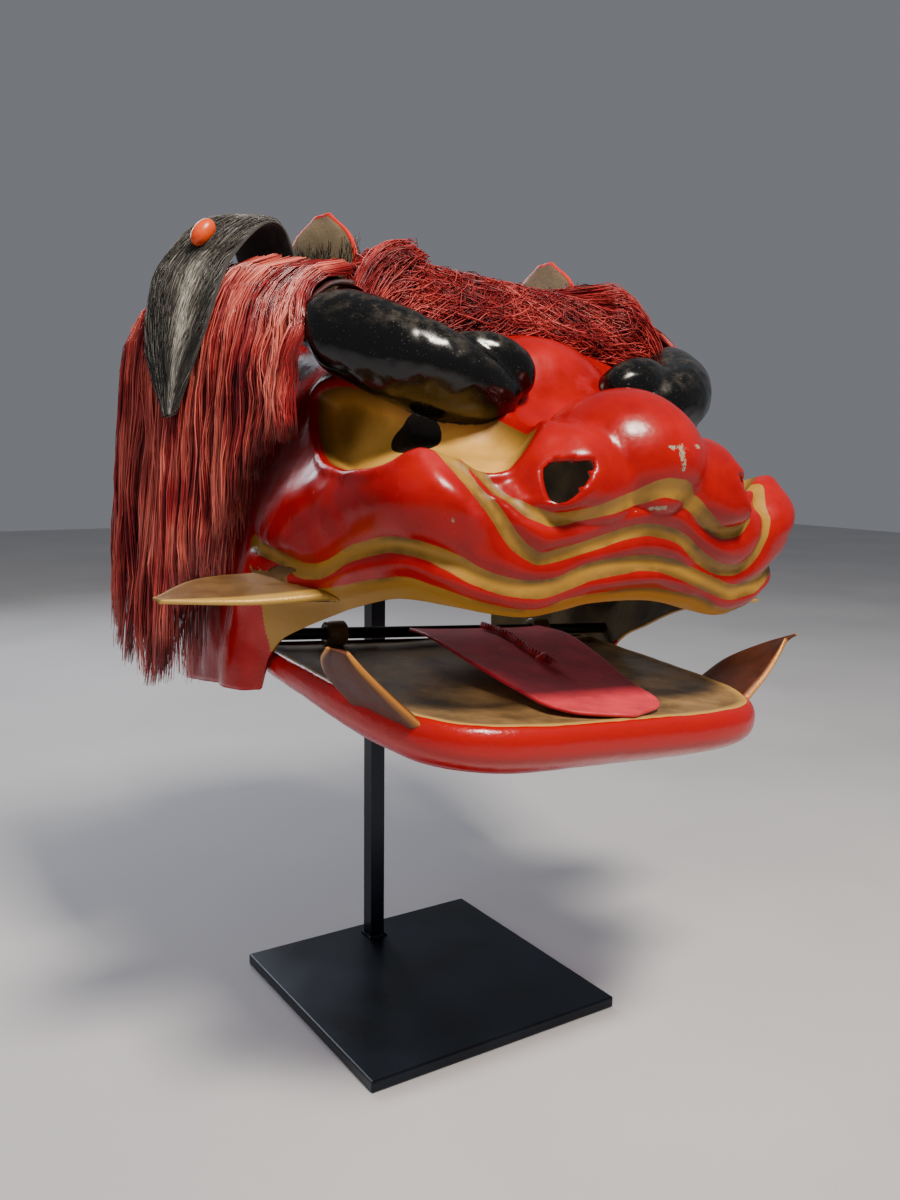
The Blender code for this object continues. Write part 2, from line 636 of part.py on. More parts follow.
def build_ear(side, name, core, parts, cutters):
    """Makes a drooping ear with its bead, and the upright cup on the crown beside it."""
    ear_loops = leaf_loops(EAR_FRONT, EAR_REAR, EAR_THICKNESS, side)
    cup_loops = leaf_loops(CUP_FRONT, CUP_REAR, CUP_WALL, side)
    ear = finish(f"ear_{name}", solid_of_loops(f"ear_{name}", ear_loops), FUR, 0.9, 0.0, parts)
    cup = finish(f"ear_cup_{name}", solid_of_loops(f"ear_cup_{name}", cup_loops), RED, 0.4, 0.0, parts)
    ear_seat = cutter(f"ear_seat_{name}", grown(ear.data, SEAT_GAP), cutters)
    cup_seat = cutter(f"cup_seat_{name}", grown(cup.data, SEAT_GAP), cutters)
    boolean(ear, core)
    boolean(cup, core)
    level = ear_loops[BEAD_LEVEL]
    skin, back = level[BEAD_COLUMN], level[-1 - BEAD_COLUMN]
    out = (skin - back) / np.linalg.norm(skin - back)
    mesh = primitive(f"ear_bead_{name}", bmesh.ops.create_uvsphere, (BEAD_WIDTH, BEAD_WIDTH, BEAD_LENGTH),
                     u_segments=10, v_segments=6, radius=0.5)
    mesh.transform(Matrix.Translation(skin + out * BEAD_WIDTH * BEAD_STANDS))
    mesh.shade_smooth()
    bead = finish(f"ear_bead_{name}", mesh, ORANGE, 0.3, 0.0, parts)
    boolean(bead, ear_seat)
    bead_seat = cutter(f"bead_seat_{name}", grown(mesh, SEAT_GAP), cutters)
    return {"ear": ear_seat, "cup": cup_seat, "bead": bead_seat}


def mane_loops():
    """Returns the left mane's loops from top to hem, outer side with locks and inner side plain."""
    rows = np.array(MANE)
    across = np.linspace(0, 1, MANE_STEPS)
    row = dict(zip(MANE_COLUMNS, through(np.linspace(0, 1, len(rows)), rows, across).T))
    y, root, outer = y_at(row["y"]), row["root"] * HALF_WIDTH, row["x"] * HALF_WIDTH
    top, hem = z_at(row["top"]), z_at(row["hem"])
    inner = np.maximum(outer - MANE_DEPTH, HALF_WIDTH + MANE_CLEARANCE)
    locks = np.abs(np.sin(math.pi * MANE_LOCKS * across)) - 0.5
    loops = []
    for down in np.linspace(0, 1, MANE_LEVELS) ** 1.4:
        z = top + (hem - top) * down
        fall = np.clip((top - z) / MANE_SHOULDER, 0, 1)
        turn = np.sqrt(1 - (1 - fall) ** 2)
        relief = LOCK_RELIEF * locks * min(1, 2 * down)
        skin = np.maximum(outer + relief, inner + MANE_EDGE)
        face = np.stack([root + (skin - root) * turn, y, z], -1)
        back = np.stack([root + (inner - root) * turn, y, z - MANE_ROOT_DROP * (1 - turn)], -1)
        loops.append(np.concatenate([face, back[::-1]]))
    return np.array(loops)


def build_hair(core, seats, parts, cutters):
    """Makes the roll of hair over the crown and the two side falls, clear of what they lie against."""
    rows = np.array(CROWN_ROLL)
    steps = np.linspace(0, 1, CROWN_STEPS)
    profile = through(np.linspace(0, 1, len(rows)), rows, steps)
    loops = []
    front, lowest = CROWN_ROLL[0][0], min(share for _, share in CROWN_SEAT)
    seat = np.array(CROWN_SEAT)
    for turn in np.linspace(-math.pi / 2, math.pi / 2, CROWN_SECTIONS):
        across = math.sin(turn) * CROWN_HAIR_X
        low = 1 - CROWN_END_DROP * abs(math.sin(turn)) ** CROWN_END_POWER
        squeeze = 1 - (1 - CROWN_END_LENGTH) * smooth_step(abs(across), *CROWN_PASS)
        wave = np.sin(CROWN_RIPPLE * math.pi * steps + CROWN_TWIST * across)
        ripple = LOCK_RELIEF / 2 * wave * math.cos(turn)
        y = y_at(front + (np.append(profile[:, 0], seat[:, 0]) - front) * squeeze)
        z = np.append(z_at(lowest + (profile[:, 1] - lowest) * low) + ripple, z_at(seat[:, 1]))
        x = np.full_like(y, across * HALF_WIDTH)
        loops.append(np.stack([x, y, z], -1))
    crown = finish("crown_hair", solid_of_loops("crown_hair", loops), CRIMSON, 0.5, 0.0, parts)
    crown_seat = cutter("crown_seat", grown(crown.data, SEAT_GAP), cutters)
    boolean(crown, core, solver="MANIFOLD")
    for name in seats:
        for seat in (seats[name]["cup"], *seats[name]["brow"]):
            boolean(crown, seat, solver="MANIFOLD")
    for side, name in SIDES:
        fall = solid_of_loops(f"mane_{name}", mirrored(mane_loops(), side))
        mane = finish(f"mane_{name}", fall, CRIMSON, 0.5, 0.0, parts)
        boolean(mane, core, solver="MANIFOLD")
        boolean(mane, crown_seat, solver="MANIFOLD")
        for seat in (seats[name]["ear"], seats[name]["bead"], *seats[name]["brow"]):
            boolean(mane, seat, solver="MANIFOLD")


def build_fangs(side, name, core, jaw_core, parts):
    """Makes the upper fang on the cheek and the lower fang on the jaw's rim."""
    upper_loops = leaf_loops(UPPER_FANG_FRONT, UPPER_FANG_REAR, FANG_THICKNESS, side)
    upper_mesh = solid_of_loops(f"upper_fang_{name}", upper_loops)
    upper = finish(f"upper_fang_{name}", upper_mesh, GOLD, 0.4, 0.3, parts)
    boolean(upper, core)
    base_y = JAW_REAR_Y - JAW_LENGTH * np.array([LOWER_FANG_FRONT, LOWER_FANG_REAR])
    base_x = JAW_WIDTH / 2 * np.array(LOWER_FANG_INSET)
    edges = []
    for x, y, lean in zip(base_x, base_y, LOWER_FANG_LEAN):
        edge = []
        for up, out in LOWER_FANG:
            move = up**2 * (base_y[1] - base_y[0]) * lean
            edge.append((x + out * LOWER_FANG_FLARE, y + move, jaw_top(y) + up * LOWER_FANG_HEIGHT))
        edges.append(np.array(edge))
    lower_loops = mirrored(leaf(*edges, FANG_THICKNESS), side)
    lower_mesh = solid_of_loops(f"lower_fang_{name}", lower_loops)
    lower = finish(f"lower_fang_{name}", lower_mesh, GOLD, 0.4, 0.3, parts)
    boolean(lower, jaw_core)


def build_jaw(parts, cutters):
    """Makes the carved jaw with the two lugs that turn on the hinge rod, and returns what seats its fangs."""
    mesh = solid_of_loops("lower_jaw", jaw_grid(JAW_STEPS))
    core = cutter("jaw_core", grown(mesh, SEAT_GAP), cutters)
    jaw = finish("lower_jaw", mesh, RED, 0.25, 0.0, parts)
    lug_radius = HINGE_ROD_RADIUS + HINGE_CLEARANCE + LUG_WALL
    for side, name in SIDES:
        lug = cutter(f"lug_{name}", rod_mesh(f"lug_{name}", lug_radius, LUG_WIDTH), cutters)
        lug.location = (side * LUG_PLACE * JAW_WIDTH / 2, HINGE_Y, HINGE_Z)
        boolean(jaw, lug, "UNION")
    bore = cutter("lug_bore", rod_mesh("lug_bore", HINGE_ROD_RADIUS + HINGE_CLEARANCE, JAW_WIDTH), cutters)
    bore.location = (0, HINGE_Y, HINGE_Z)
    boolean(jaw, bore)
    return core


def build_hinge_rod(hollow, parts):
    """Makes the rod across the rear of the mouth, ending just inside the cheeks."""
    rod = finish("hinge_rod", rod_mesh("hinge_rod", HINGE_ROD_RADIUS, HEAD_WIDTH), BLACK, 0.3, 0.0, parts)
    rod.location = (0, HINGE_Y, HINGE_Z)
    boolean(rod, hollow, "INTERSECT")


def build_tongue(parts):
    """Makes the tongue, which rises to its root, and the cord that is knotted on it."""
    rows = np.array(TONGUE)
    along = np.linspace(0, 1, TONGUE_STEPS)
    reach, half, lift = (through(rows[:, 0] / rows[-1, 0], rows[:, column], along) for column in range(3))
    front = JAW_REAR_Y - JAW_LENGTH + TONGUE_INSET
    loops, middle = [], []
    for share, width, rise in zip(reach, half, lift):
        y = front + share * TONGUE_LENGTH
        base = jaw_top(y) + TONGUE_SEAT + rise
        x = np.linspace(-1, 1, TONGUE_COLUMNS) * width * TONGUE_WIDTH
        under = np.stack([x, np.full_like(x, y), np.full_like(x, base)], -1)
        loops.append(np.concatenate([under, (under + (0, 0, TONGUE_THICKNESS))[::-1]]))
        middle.append((y, base + TONGUE_THICKNESS))
    finish("tongue", solid_of_loops("tongue", loops), TONGUE_RED, 0.6, 0.0, parts)
    middle = np.array(middle)
    places = np.linspace(front + CORD_START * TONGUE_LENGTH, front + CORD_END * TONGUE_LENGTH, CORD_STEPS)
    curve = bpy.data.curves.new("tongue_cord", "CURVE")
    curve.dimensions = "3D"
    curve.bevel_depth = CORD_DIAMETER / 2
    curve.bevel_resolution = 2
    curve.use_fill_caps = True
    spline = curve.splines.new("POLY")
    spline.points.add(len(places) - 1)
    for point, y in zip(spline.points, places):
        z = np.interp(y, middle[:, 0], middle[:, 1]) + CORD_DIAMETER / 2 + 2 * SEAT_GAP
        point.co = (0, y, z, 1)
    guide = bpy.data.objects.new("tongue_cord_curve", curve)
    parts.objects.link(guide)
    mesh = bpy.data.meshes.new_from_object(guide.evaluated_get(bpy.context.evaluated_depsgraph_get()))
    bpy.data.objects.remove(guide)
    shape = bmesh.new()
    shape.from_mesh(mesh)
    bmesh.ops.remove_doubles(shape, verts=shape.verts, dist=MERGE)
    shape.to_mesh(mesh)
    shape.free()
    finish("tongue_cord", mesh, TONGUE_RED, 0.8, 0.0, parts)


def build_stand(hollow, parts):
    """Makes the plate, the post and the pad that carries the crown from inside."""
    slab = block("stand_base", PLATE_SIDE, PLATE_SIDE, PLATE_THICKNESS)
    plate = finish("stand_base", slab, STEEL, 0.35, 0.8, parts)
    plate.location = (0, 0, PLATE_THICKNESS / 2)
    rounded = plate.modifiers.new("Rounded edges", "BEVEL")
    rounded.width = PLATE_ROUND
    rounded.segments = 2
    cradle_z = z_at(CRADLE_HEIGHT)
    bottom = PLATE_THICKNESS + SEAT_GAP
    height = cradle_z - SEAT_GAP - bottom
    post = finish("stand_post", block("stand_post", POST_SIDE, POST_SIDE, height), STEEL, 0.35, 0.8, parts)
    post.location = (0, POST_Y, bottom + height / 2)
    pad = block("stand_cradle", CRADLE_WIDTH, CRADLE_LENGTH, CRADLE_DEPTH * 2)
    cradle = finish("stand_cradle", pad, STEEL, 0.35, 0.8, parts)
    cradle.location = (0, POST_Y, cradle_z + CRADLE_DEPTH)
    boolean(cradle, hollow, "INTERSECT")


def main():
    """Builds the whole head on its stand."""
    for old in list(bpy.data.objects):
        bpy.data.objects.remove(old)
    parts = bpy.data.collections.new("lion_dance_head")
    cutters = bpy.data.collections.new("cutters")
    bpy.context.scene.collection.children.link(parts)
    bpy.context.scene.collection.children.link(cutters)
    core, hollow = build_shell(parts, cutters)
    jaw_core = build_jaw(parts, cutters)
    seats = {}
    for side, name in SIDES:
        seats[name] = build_ear(side, name, core, parts, cutters)
        seats[name]["brow"] = build_brow(side, name, core, parts, cutters)
        build_fangs(side, name, core, jaw_core, parts)
    build_hair(core, seats, parts, cutters)
    build_hinge_rod(hollow, parts)
    build_tongue(parts)
    pieces = [*parts.objects, *cutters.objects]
    seat = empty("head_seat", HEAD_SHIFT, None, parts)
    seat.rotation_euler = (0, HEAD_TILT, 0)
    hinge = empty("jaw_hinge", (0, HINGE_Y, HINGE_Z), seat, parts)
    for piece in pieces:
        if piece.name in JAW_PIECES:
            hang(piece, hinge, hinge.location)
        else:
            hang(piece, seat)
    build_stand(hollow, parts)


main()
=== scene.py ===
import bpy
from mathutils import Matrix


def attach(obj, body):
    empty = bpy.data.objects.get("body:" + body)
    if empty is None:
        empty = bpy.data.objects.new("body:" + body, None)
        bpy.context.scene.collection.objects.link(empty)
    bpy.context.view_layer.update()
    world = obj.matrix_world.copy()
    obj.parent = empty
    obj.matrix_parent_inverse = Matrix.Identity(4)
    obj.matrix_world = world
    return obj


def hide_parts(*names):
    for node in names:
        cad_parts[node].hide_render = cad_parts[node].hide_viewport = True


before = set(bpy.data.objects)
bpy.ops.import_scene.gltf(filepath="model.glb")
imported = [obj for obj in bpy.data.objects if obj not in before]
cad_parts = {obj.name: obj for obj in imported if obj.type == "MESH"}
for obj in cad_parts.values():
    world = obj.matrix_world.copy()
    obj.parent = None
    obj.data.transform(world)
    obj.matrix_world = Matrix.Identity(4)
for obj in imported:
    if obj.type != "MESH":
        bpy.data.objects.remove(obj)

"""Dresses the lion dance head and its stand.

The head is modelled in its own frame, where it stands straight, and seat_on_stand() then leans and
shifts it as the CAD does. There the lion looks along -Y, its left is +X and Z is up, in metres.
Heights in the paint tables are millimetres above the lowest rim, places round the face are degrees
from straight ahead, negative on the lion's right, which is the side that the camera sees.
"""

import logging
import math
from dataclasses import dataclass
from enum import Enum
from typing import Any, Sequence

import bmesh
import bpy
import numpy as np
from mathutils import Matrix, Vector, noise
from mathutils.bvhtree import BVHTree

logging.basicConfig(level=logging.INFO, format="%(message)s")
LOG = logging.getLogger("lion_dance_head")

MM = 0.001
HEAD_LENGTH = 0.360
HALF_WIDTH = 0.157
HEAD_HEIGHT = 0.285
HEAD_LIFT = 0.213
HEAD_LEAN = math.radians(3.8)
HEAD_SEAT = Matrix.Translation((-0.009, -0.014, 0.008)) @ Matrix.Rotation(HEAD_LEAN, 4, "Y")
FACE_RADIUS = 185.0  # mm, turns degrees round the face into a length along it
HEAD_BODY = "head_on_stand"
JAW_BODY = "jaw"
CURVE_STEPS = 240

Table = Sequence[Sequence[float]]


class Side(Enum):
    """The lion's right side is towards the camera, its left side away from it."""

    RIGHT = -1
    LEFT = 1

    @property
    def label(self) -> str:
        """Returns the word that node names use."""
        return self.name.lower()


class Flow(Enum):
    """How hair lies on the crown."""

    COMBED = "combed"
    BACKWARD = "backward"
    FRIZZ = "frizz"


def y_at(share: Any) -> Any:
    """Returns the Y of a share of the head's length."""
    return share * HEAD_LENGTH


def z_at(share: Any) -> Any:
    """Returns the height of a share of the head's height."""
    return HEAD_LIFT + share * HEAD_HEIGHT


def place(x_share: float, y_share: float, z_share: float) -> np.ndarray:
    """Returns a point of the head from its three shares."""
    return np.array([x_share * HALF_WIDTH, y_at(y_share), z_at(z_share)])


def through(places: Any, values: Any, at: Any) -> np.ndarray:
    """Reads a smooth curve through given values.

    Args:
        places: Where each value stands, rising.
        values: One value, or one row of values, for each place.
        at: Where to read the curve.

    Returns:
        The values read, in the shape of at.
    """
    places, values = np.asarray(places, float), np.asarray(values, float)
    at = np.clip(np.asarray(at, float), places[0], places[-1])
    slopes = np.gradient(values, places, axis=0)
    low = np.clip(np.searchsorted(places, at, side="right") - 1, 0, len(places) - 2)
    step = places[low + 1] - places[low]
    part = (at - places[low]) / step
    if values.ndim > 1:
        step, part = step[..., None], part[..., None]
    square, cube = part**2, part**3
    return (
        (2 * cube - 3 * square + 1) * values[low]
        + (cube - 2 * square + part) * step * slopes[low]
        + (3 * square - 2 * cube) * values[low + 1]
        + (cube - square) * step * slopes[low + 1]
    )


def evenly(table: Any, at: Any) -> np.ndarray:
    """Reads a smooth curve through rows that stand at even places from 0 to 1."""
    table = np.asarray(table, float)
    return through(np.linspace(0, 1, len(table)), table, at)


def smooth_step(value: Any, low: float, high: float) -> np.ndarray:
    """Returns 0 below low, 1 above high and an even rise between."""
    part = np.clip((value - low) / (high - low), 0, 1)
    return part * part * (3 - 2 * part)


def unit(vectors: np.ndarray) -> np.ndarray:
    """Returns the vectors at length 1."""
    return vectors / (np.linalg.norm(vectors, axis=-1, keepdims=True) + 1e-12)


def grid_normals(points: np.ndarray) -> np.ndarray:
    """Returns the unit normals of a grid of points."""
    return unit(np.cross(np.gradient(points, axis=1), np.gradient(points, axis=0)))


def grain(points: np.ndarray, size: float, seed: float = 0.0) -> np.ndarray:
    """Reads smooth noise with humps size metres wide; seed moves the pattern."""
    flat = points.reshape(-1, 3) / size + seed
    return np.array([noise.noise(Vector(row)) for row in flat]).reshape(points.shape[:-1])


def line_gap(points: np.ndarray, line: np.ndarray) -> np.ndarray:
    """Returns the distance from each point to a line of points, in whatever space they share.

    Args:
        points: Where to measure from.
        line: The line's points, in order.

    Returns:
        One distance for each point.
    """
    best = np.full(points.shape[:-1], np.inf)
    for start, end in zip(line[:-1], line[1:]):
        run = end - start
        part = np.clip(((points - start) @ run) / max(run @ run, 1e-12), 0, 1)
        best = np.minimum(best, np.linalg.norm(points - (start + part[..., None] * run), axis=-1))
    return best


def inside_of(points: np.ndarray, outline: np.ndarray) -> np.ndarray:
    """Returns the distance in from a closed outline in a plane, below 0 outside it.

    Args:
        points: Where to measure from.
        outline: The corners, in order.

    Returns:
        One distance for each point.
    """
    inside = np.zeros(points.shape[:-1], bool)
    for start, end in zip(outline, np.roll(outline, -1, axis=0)):
        crosses = (start[1] > points[..., 1]) != (end[1] > points[..., 1])
        rise = np.where(end[1] == start[1], 1e-12, end[1] - start[1])
        cut = start[0] + (points[..., 1] - start[1]) / rise * (end[0] - start[0])
        inside ^= crosses & (points[..., 0] < cut)
    gap = line_gap(points, np.concatenate([outline, outline[:1]]))
    return np.where(inside, gap, -gap)


def rounded(outline: Table, steps: int = 90) -> np.ndarray:
    """Returns a closed outline drawn smoothly through its points.

    Args:
        outline: Its few points, in order.
        steps: How many points to draw.

    Returns:
        The drawn points.
    """
    corners = np.asarray(outline, float)
    ring = np.concatenate([corners[-2:], corners, corners[:3]])
    count = len(corners)
    at = np.linspace(2, count + 2, steps, endpoint=False)
    return through(np.arange(len(ring)), ring, at)


def deselect() -> None:
    """Leaves edit mode and deselects everything."""
    if bpy.context.object and bpy.context.object.mode != "OBJECT":
        bpy.ops.object.mode_set(mode="OBJECT")
    bpy.ops.object.select_all(action="DESELECT")


def pick(piece: bpy.types.Object) -> None:
    """Makes one piece the only selected and the active one.

    Args:
        piece: The object to pick.
    """
    deselect()
    piece.select_set(True)
    bpy.context.view_layer.objects.active = piece


def close_seams(piece: bpy.types.Object, gap: float = 0.00002) -> None:
    """Merges a mesh's doubles and turns its faces outwards.

    Args:
        piece: The object to mend.
        gap: The most that doubles lie apart, in metres.
    """
    pick(piece)
    bpy.ops.object.mode_set(mode="EDIT")
    bpy.ops.mesh.select_all(action="SELECT")
    bpy.ops.mesh.remove_doubles(threshold=gap)
    bpy.ops.mesh.dissolve_degenerate(threshold=gap)
    bpy.ops.mesh.normals_make_consistent(inside=False)
    bpy.ops.object.mode_set(mode="OBJECT")


def skin(name: str, points: np.ndarray, wrap: bool = False, **fields: np.ndarray) -> bpy.types.Object:
    """Shapes a primitive grid to rows of points.

    Args:
        name: The piece's name.
        points: Rows and columns of places in metres.
        wrap: Whether the last column joins the first.
        fields: Values to keep on the points, one array for each, of the grid's rows and columns.

    Returns:
        The object, smooth shaded.
    """
    if wrap:
        points = np.concatenate([points, points[:, :1]], axis=1)
        fields = {key: np.concatenate([value, value[:, :1]], axis=1) for key, value in fields.items()}
    rows, columns = points.shape[:2]
    deselect()
    bpy.ops.mesh.primitive_grid_add(x_subdivisions=columns - 1, y_subdivisions=rows - 1, size=1)
    piece = bpy.context.active_object
    piece.name = piece.data.name = name
    flat = np.empty(rows * columns * 3)
    piece.data.vertices.foreach_get("co", flat)
    flat = flat.reshape(-1, 3) + 0.5
    column = np.rint(flat[:, 0] * (columns - 1)).astype(int)
    row = np.rint(flat[:, 1] * (rows - 1)).astype(int)
    piece.data.vertices.foreach_set("co", points[row, column].ravel())
    for key, value in fields.items():
        write_field(piece, key, value[row, column])
    bpy.ops.object.shade_smooth()
    if wrap:
        close_seams(piece)
    return piece


def write_field(piece: bpy.types.Object, key: str, values: np.ndarray) -> None:
    """Keeps one value for each point of a mesh as an attribute that materials read."""
    held = piece.data.attributes.new(key, "FLOAT", "POINT")
    held.data.foreach_set("value", np.ascontiguousarray(values, dtype=np.float32).ravel())


def apply_modifier(piece: bpy.types.Object, kind: str, **settings: Any) -> None:
    """Adds a modifier, sets it and applies it.

    Args:
        piece: The object to change.
        kind: The modifier's type.
        settings: Its settings by name.
    """
    change = piece.modifiers.new(kind.title(), kind)
    for key, value in settings.items():
        setattr(change, key, value)
    pick(piece)
    bpy.ops.object.modifier_apply(modifier=change.name)


def join(pieces: Sequence[bpy.types.Object], name: str) -> bpy.types.Object:
    """Joins meshes into the first one.

    Args:
        pieces: The meshes.
        name: The joined piece's name.

    Returns:
        The joined object.
    """
    deselect()
    for piece in pieces:
        piece.select_set(True)
    bpy.context.view_layer.objects.active = pieces[0]
    bpy.ops.object.join()
    joined = bpy.context.active_object
    joined.name = joined.data.name = name
    return joined


def points_of(piece: bpy.types.Object) -> np.ndarray:
    """Returns a mesh's points.

    Args:
        piece: The object.

    Returns:
        Its points, one to a row.
    """
    flat = np.empty(len(piece.data.vertices) * 3)
    piece.data.vertices.foreach_get("co", flat)
    return flat.reshape(-1, 3)


def move_points(piece: bpy.types.Object, points: np.ndarray) -> None:
    """Moves a mesh's points."""
    piece.data.vertices.foreach_set("co", np.asarray(points, float).ravel())
    piece.data.update()


def rest_on(piece: bpy.types.Object, ground: BVHTree, clear: float = 0.0003, reach: float = 0.05) -> None:
    """Moves the points of a piece that lie under a surface up onto it.

    Args:
        piece: The piece that rests there.
        ground: The surface, whose faces point towards the piece.
        clear: How far above the surface its points stay, in metres.
        reach: How far from the surface its points are looked at, in metres.
    """
    moved = points_of(piece)
    for index, point in enumerate(moved):
        near, normal, _, _ = ground.find_nearest(Vector(point), reach)
        if near is not None and (Vector(point) - near).dot(normal) < clear:
            moved[index] = near + normal * clear
    move_points(piece, moved)


def drape(points: np.ndarray, ground: BVHTree, lowest: float, clear: float = 0.0006) -> None:
    """Lays points, in place, on the skin of the head where it lies under or over them.

    Args:
        points: Points of a piece's underside, in the head's frame.
        ground: The skin.
        lowest: The least height they may have.
        clear: Their gap to the skin, in metres.
    """
    for index, (x, y, _) in enumerate(points[1:-1], start=1):
        hit = ground.ray_cast(Vector((x, y, 2 * HEAD_HEIGHT + HEAD_LIFT)), Vector((0, 0, -1)))[0]
        if hit is not None:
            points[index, 2] = max(hit.z + clear, lowest)


def seat_on_stand(piece: bpy.types.Object) -> None:
    """Leans and shifts a piece that is modelled in the head's own frame."""
    piece.data.transform(HEAD_SEAT)


def finish_piece(
    piece: bpy.types.Object,
    materials: Sequence[bpy.types.Material],
    replaced: Sequence[str] = (),
    body: str = HEAD_BODY,
    seated: bool = True,
) -> bpy.types.Object:
    """Dresses a piece, puts it in place and fixes it to the part.

    Args:
        piece: The finished mesh.
        materials: Its materials, in the order of its faces' indices.
        replaced: The CAD nodes that it stands for.
        body: The CAD body that carries it.
        seated: Whether it is modelled in the head's own frame.

    Returns:
        The piece.
    """
    for material in materials:
        piece.data.materials.append(material)
    if seated:
        seat_on_stand(piece)
    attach(piece, body)
    if replaced:
        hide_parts(*replaced)
    LOG.info("%s: %d faces on %s", piece.name, len(piece.data.polygons), body)
    return piece


def strand_mesh(
    name: str,
    paths: np.ndarray,
    radius: np.ndarray,
    shade: np.ndarray,
    flatness: float = 0.5,
) -> bpy.types.Object:
    """Joins tapered three-sided strands of hair in one mesh, made from arrays.

    Args:
        name: The piece's name.
        paths: Points along each strand, strands by points by 3, in metres.
        radius: Half the strand's width at each of those points.
        shade: One value from 0 to 1 for each strand, that its colour follows.
        flatness: Thickness of a strand as a share of its width.

    Returns:
        The object.
    """
    count, steps = paths.shape[:2]
    run = unit(np.gradient(paths, axis=1))
    lean = np.random.default_rng(len(paths)).normal(size=(count, 1, 3))
    across = unit(np.cross(run, lean + 0 * run))
    over = np.cross(run, across)
    rings = []
    for corner in range(3):
        angle = 2 * math.pi * corner / 3
        rings.append(
            paths + radius[..., None] * (across * math.cos(angle) + over * math.sin(angle) * flatness)
        )
    points = np.stack(rings, axis=2).reshape(-1, 3)
    first = (np.arange(count)[:, None] * steps + np.arange(steps - 1)[None]).reshape(-1, 1) * 3
    quads = [first + np.array([[a, b, b + 3, a + 3]]) for a, b in ((0, 1), (1, 2), (2, 0))]
    quads = np.concatenate(quads)
    root = np.arange(count)[:, None] * steps * 3
    ends = np.concatenate([root + np.array([[2, 1, 0]]), root + (steps - 1) * 3 + np.array([[0, 1, 2]])])
    mesh = bpy.data.meshes.new(name)
    mesh.vertices.add(len(points))
    mesh.vertices.foreach_set("co", points.ravel())
    mesh.loops.add(quads.size + ends.size)
    mesh.loops.foreach_set("vertex_index", np.concatenate([quads.ravel(), ends.ravel()]).astype(np.int32))
    mesh.polygons.add(len(quads) + len(ends))
    starts = np.concatenate([np.arange(len(quads)) * 4, quads.size + np.arange(len(ends)) * 3])
    mesh.polygons.foreach_set("loop_start", starts.astype(np.int32))
    mesh.update(calc_edges=True)
    mesh.validate()
    mesh.shade_smooth()
    piece = bpy.data.objects.new(name, mesh)
    bpy.context.scene.collection.objects.link(piece)
    write_field(piece, "shade", np.repeat(shade, steps * 3))
    return piece


def paint(code: str) -> tuple[float, float, float, float]:
    """Returns a colour given as sRGB hex, in linear light."""
    parts = [int(code[start : start + 2], 16) / 255 for start in (1, 3, 5)]
    return (*(part / 12.92 if part <= 0.04045 else ((part + 0.055) / 1.055) ** 2.4 for part in parts), 1.0)


class Recipe:
    """A material in the making: one Principled shader and the nodes that feed it."""

    def __init__(self, name: str) -> None:
        """Starts a material.

        Args:
            name: What the real one is called.
        """
        self.material = bpy.data.materials.new(name)
        self.material.use_nodes = True
        self.tree = self.material.node_tree
        self.shader = self.tree.nodes["Principled BSDF"]
        self.place = self.tree.nodes.new("ShaderNodeTexCoord").outputs["Object"]

    def add(self, kind: str, links: dict[Any, Any], out: int = 0, **settings: Any) -> bpy.types.NodeSocket:
        """Adds a node.

        Args:
            kind: The node's type, without its ShaderNode prefix.
            links: What goes into its sockets by name or number, a socket, a constant or an sRGB hex colour.
            out: The number of the output wanted.
            settings: The node's own settings.

        Returns:
            That output.
        """
        node = self.tree.nodes.new(f"ShaderNode{kind}")
        for key, value in settings.items():
            setattr(node, key, value)
        for key, value in links.items():
            self.feed(node.inputs[key], value)
        return node.outputs[out]

    def feed(self, socket: bpy.types.NodeSocket, value: Any) -> None:
        """Links a socket to another, or sets it to a constant.

        Args:
            socket: The socket to feed.
            value: A socket, a constant or an sRGB hex colour.
        """
        if isinstance(value, bpy.types.NodeSocket):
            self.tree.links.new(value, socket)
        else:
            socket.default_value = paint(value) if isinstance(value, str) else value

    def dress(self, **values: Any) -> bpy.types.Material:
        """Feeds the shader's sockets, named with underscores for spaces, and returns the material.

        Args:
            values: What goes into each socket.

        Returns:
            The material.
        """
        for key, value in values.items():
            self.feed(self.shader.inputs[key.replace("_", " ")], value)
        return self.material


def per_mm(width: float) -> float:
    """Returns the scale at which a pattern repeats every width millimetres."""
    return 1 / (width * MM)


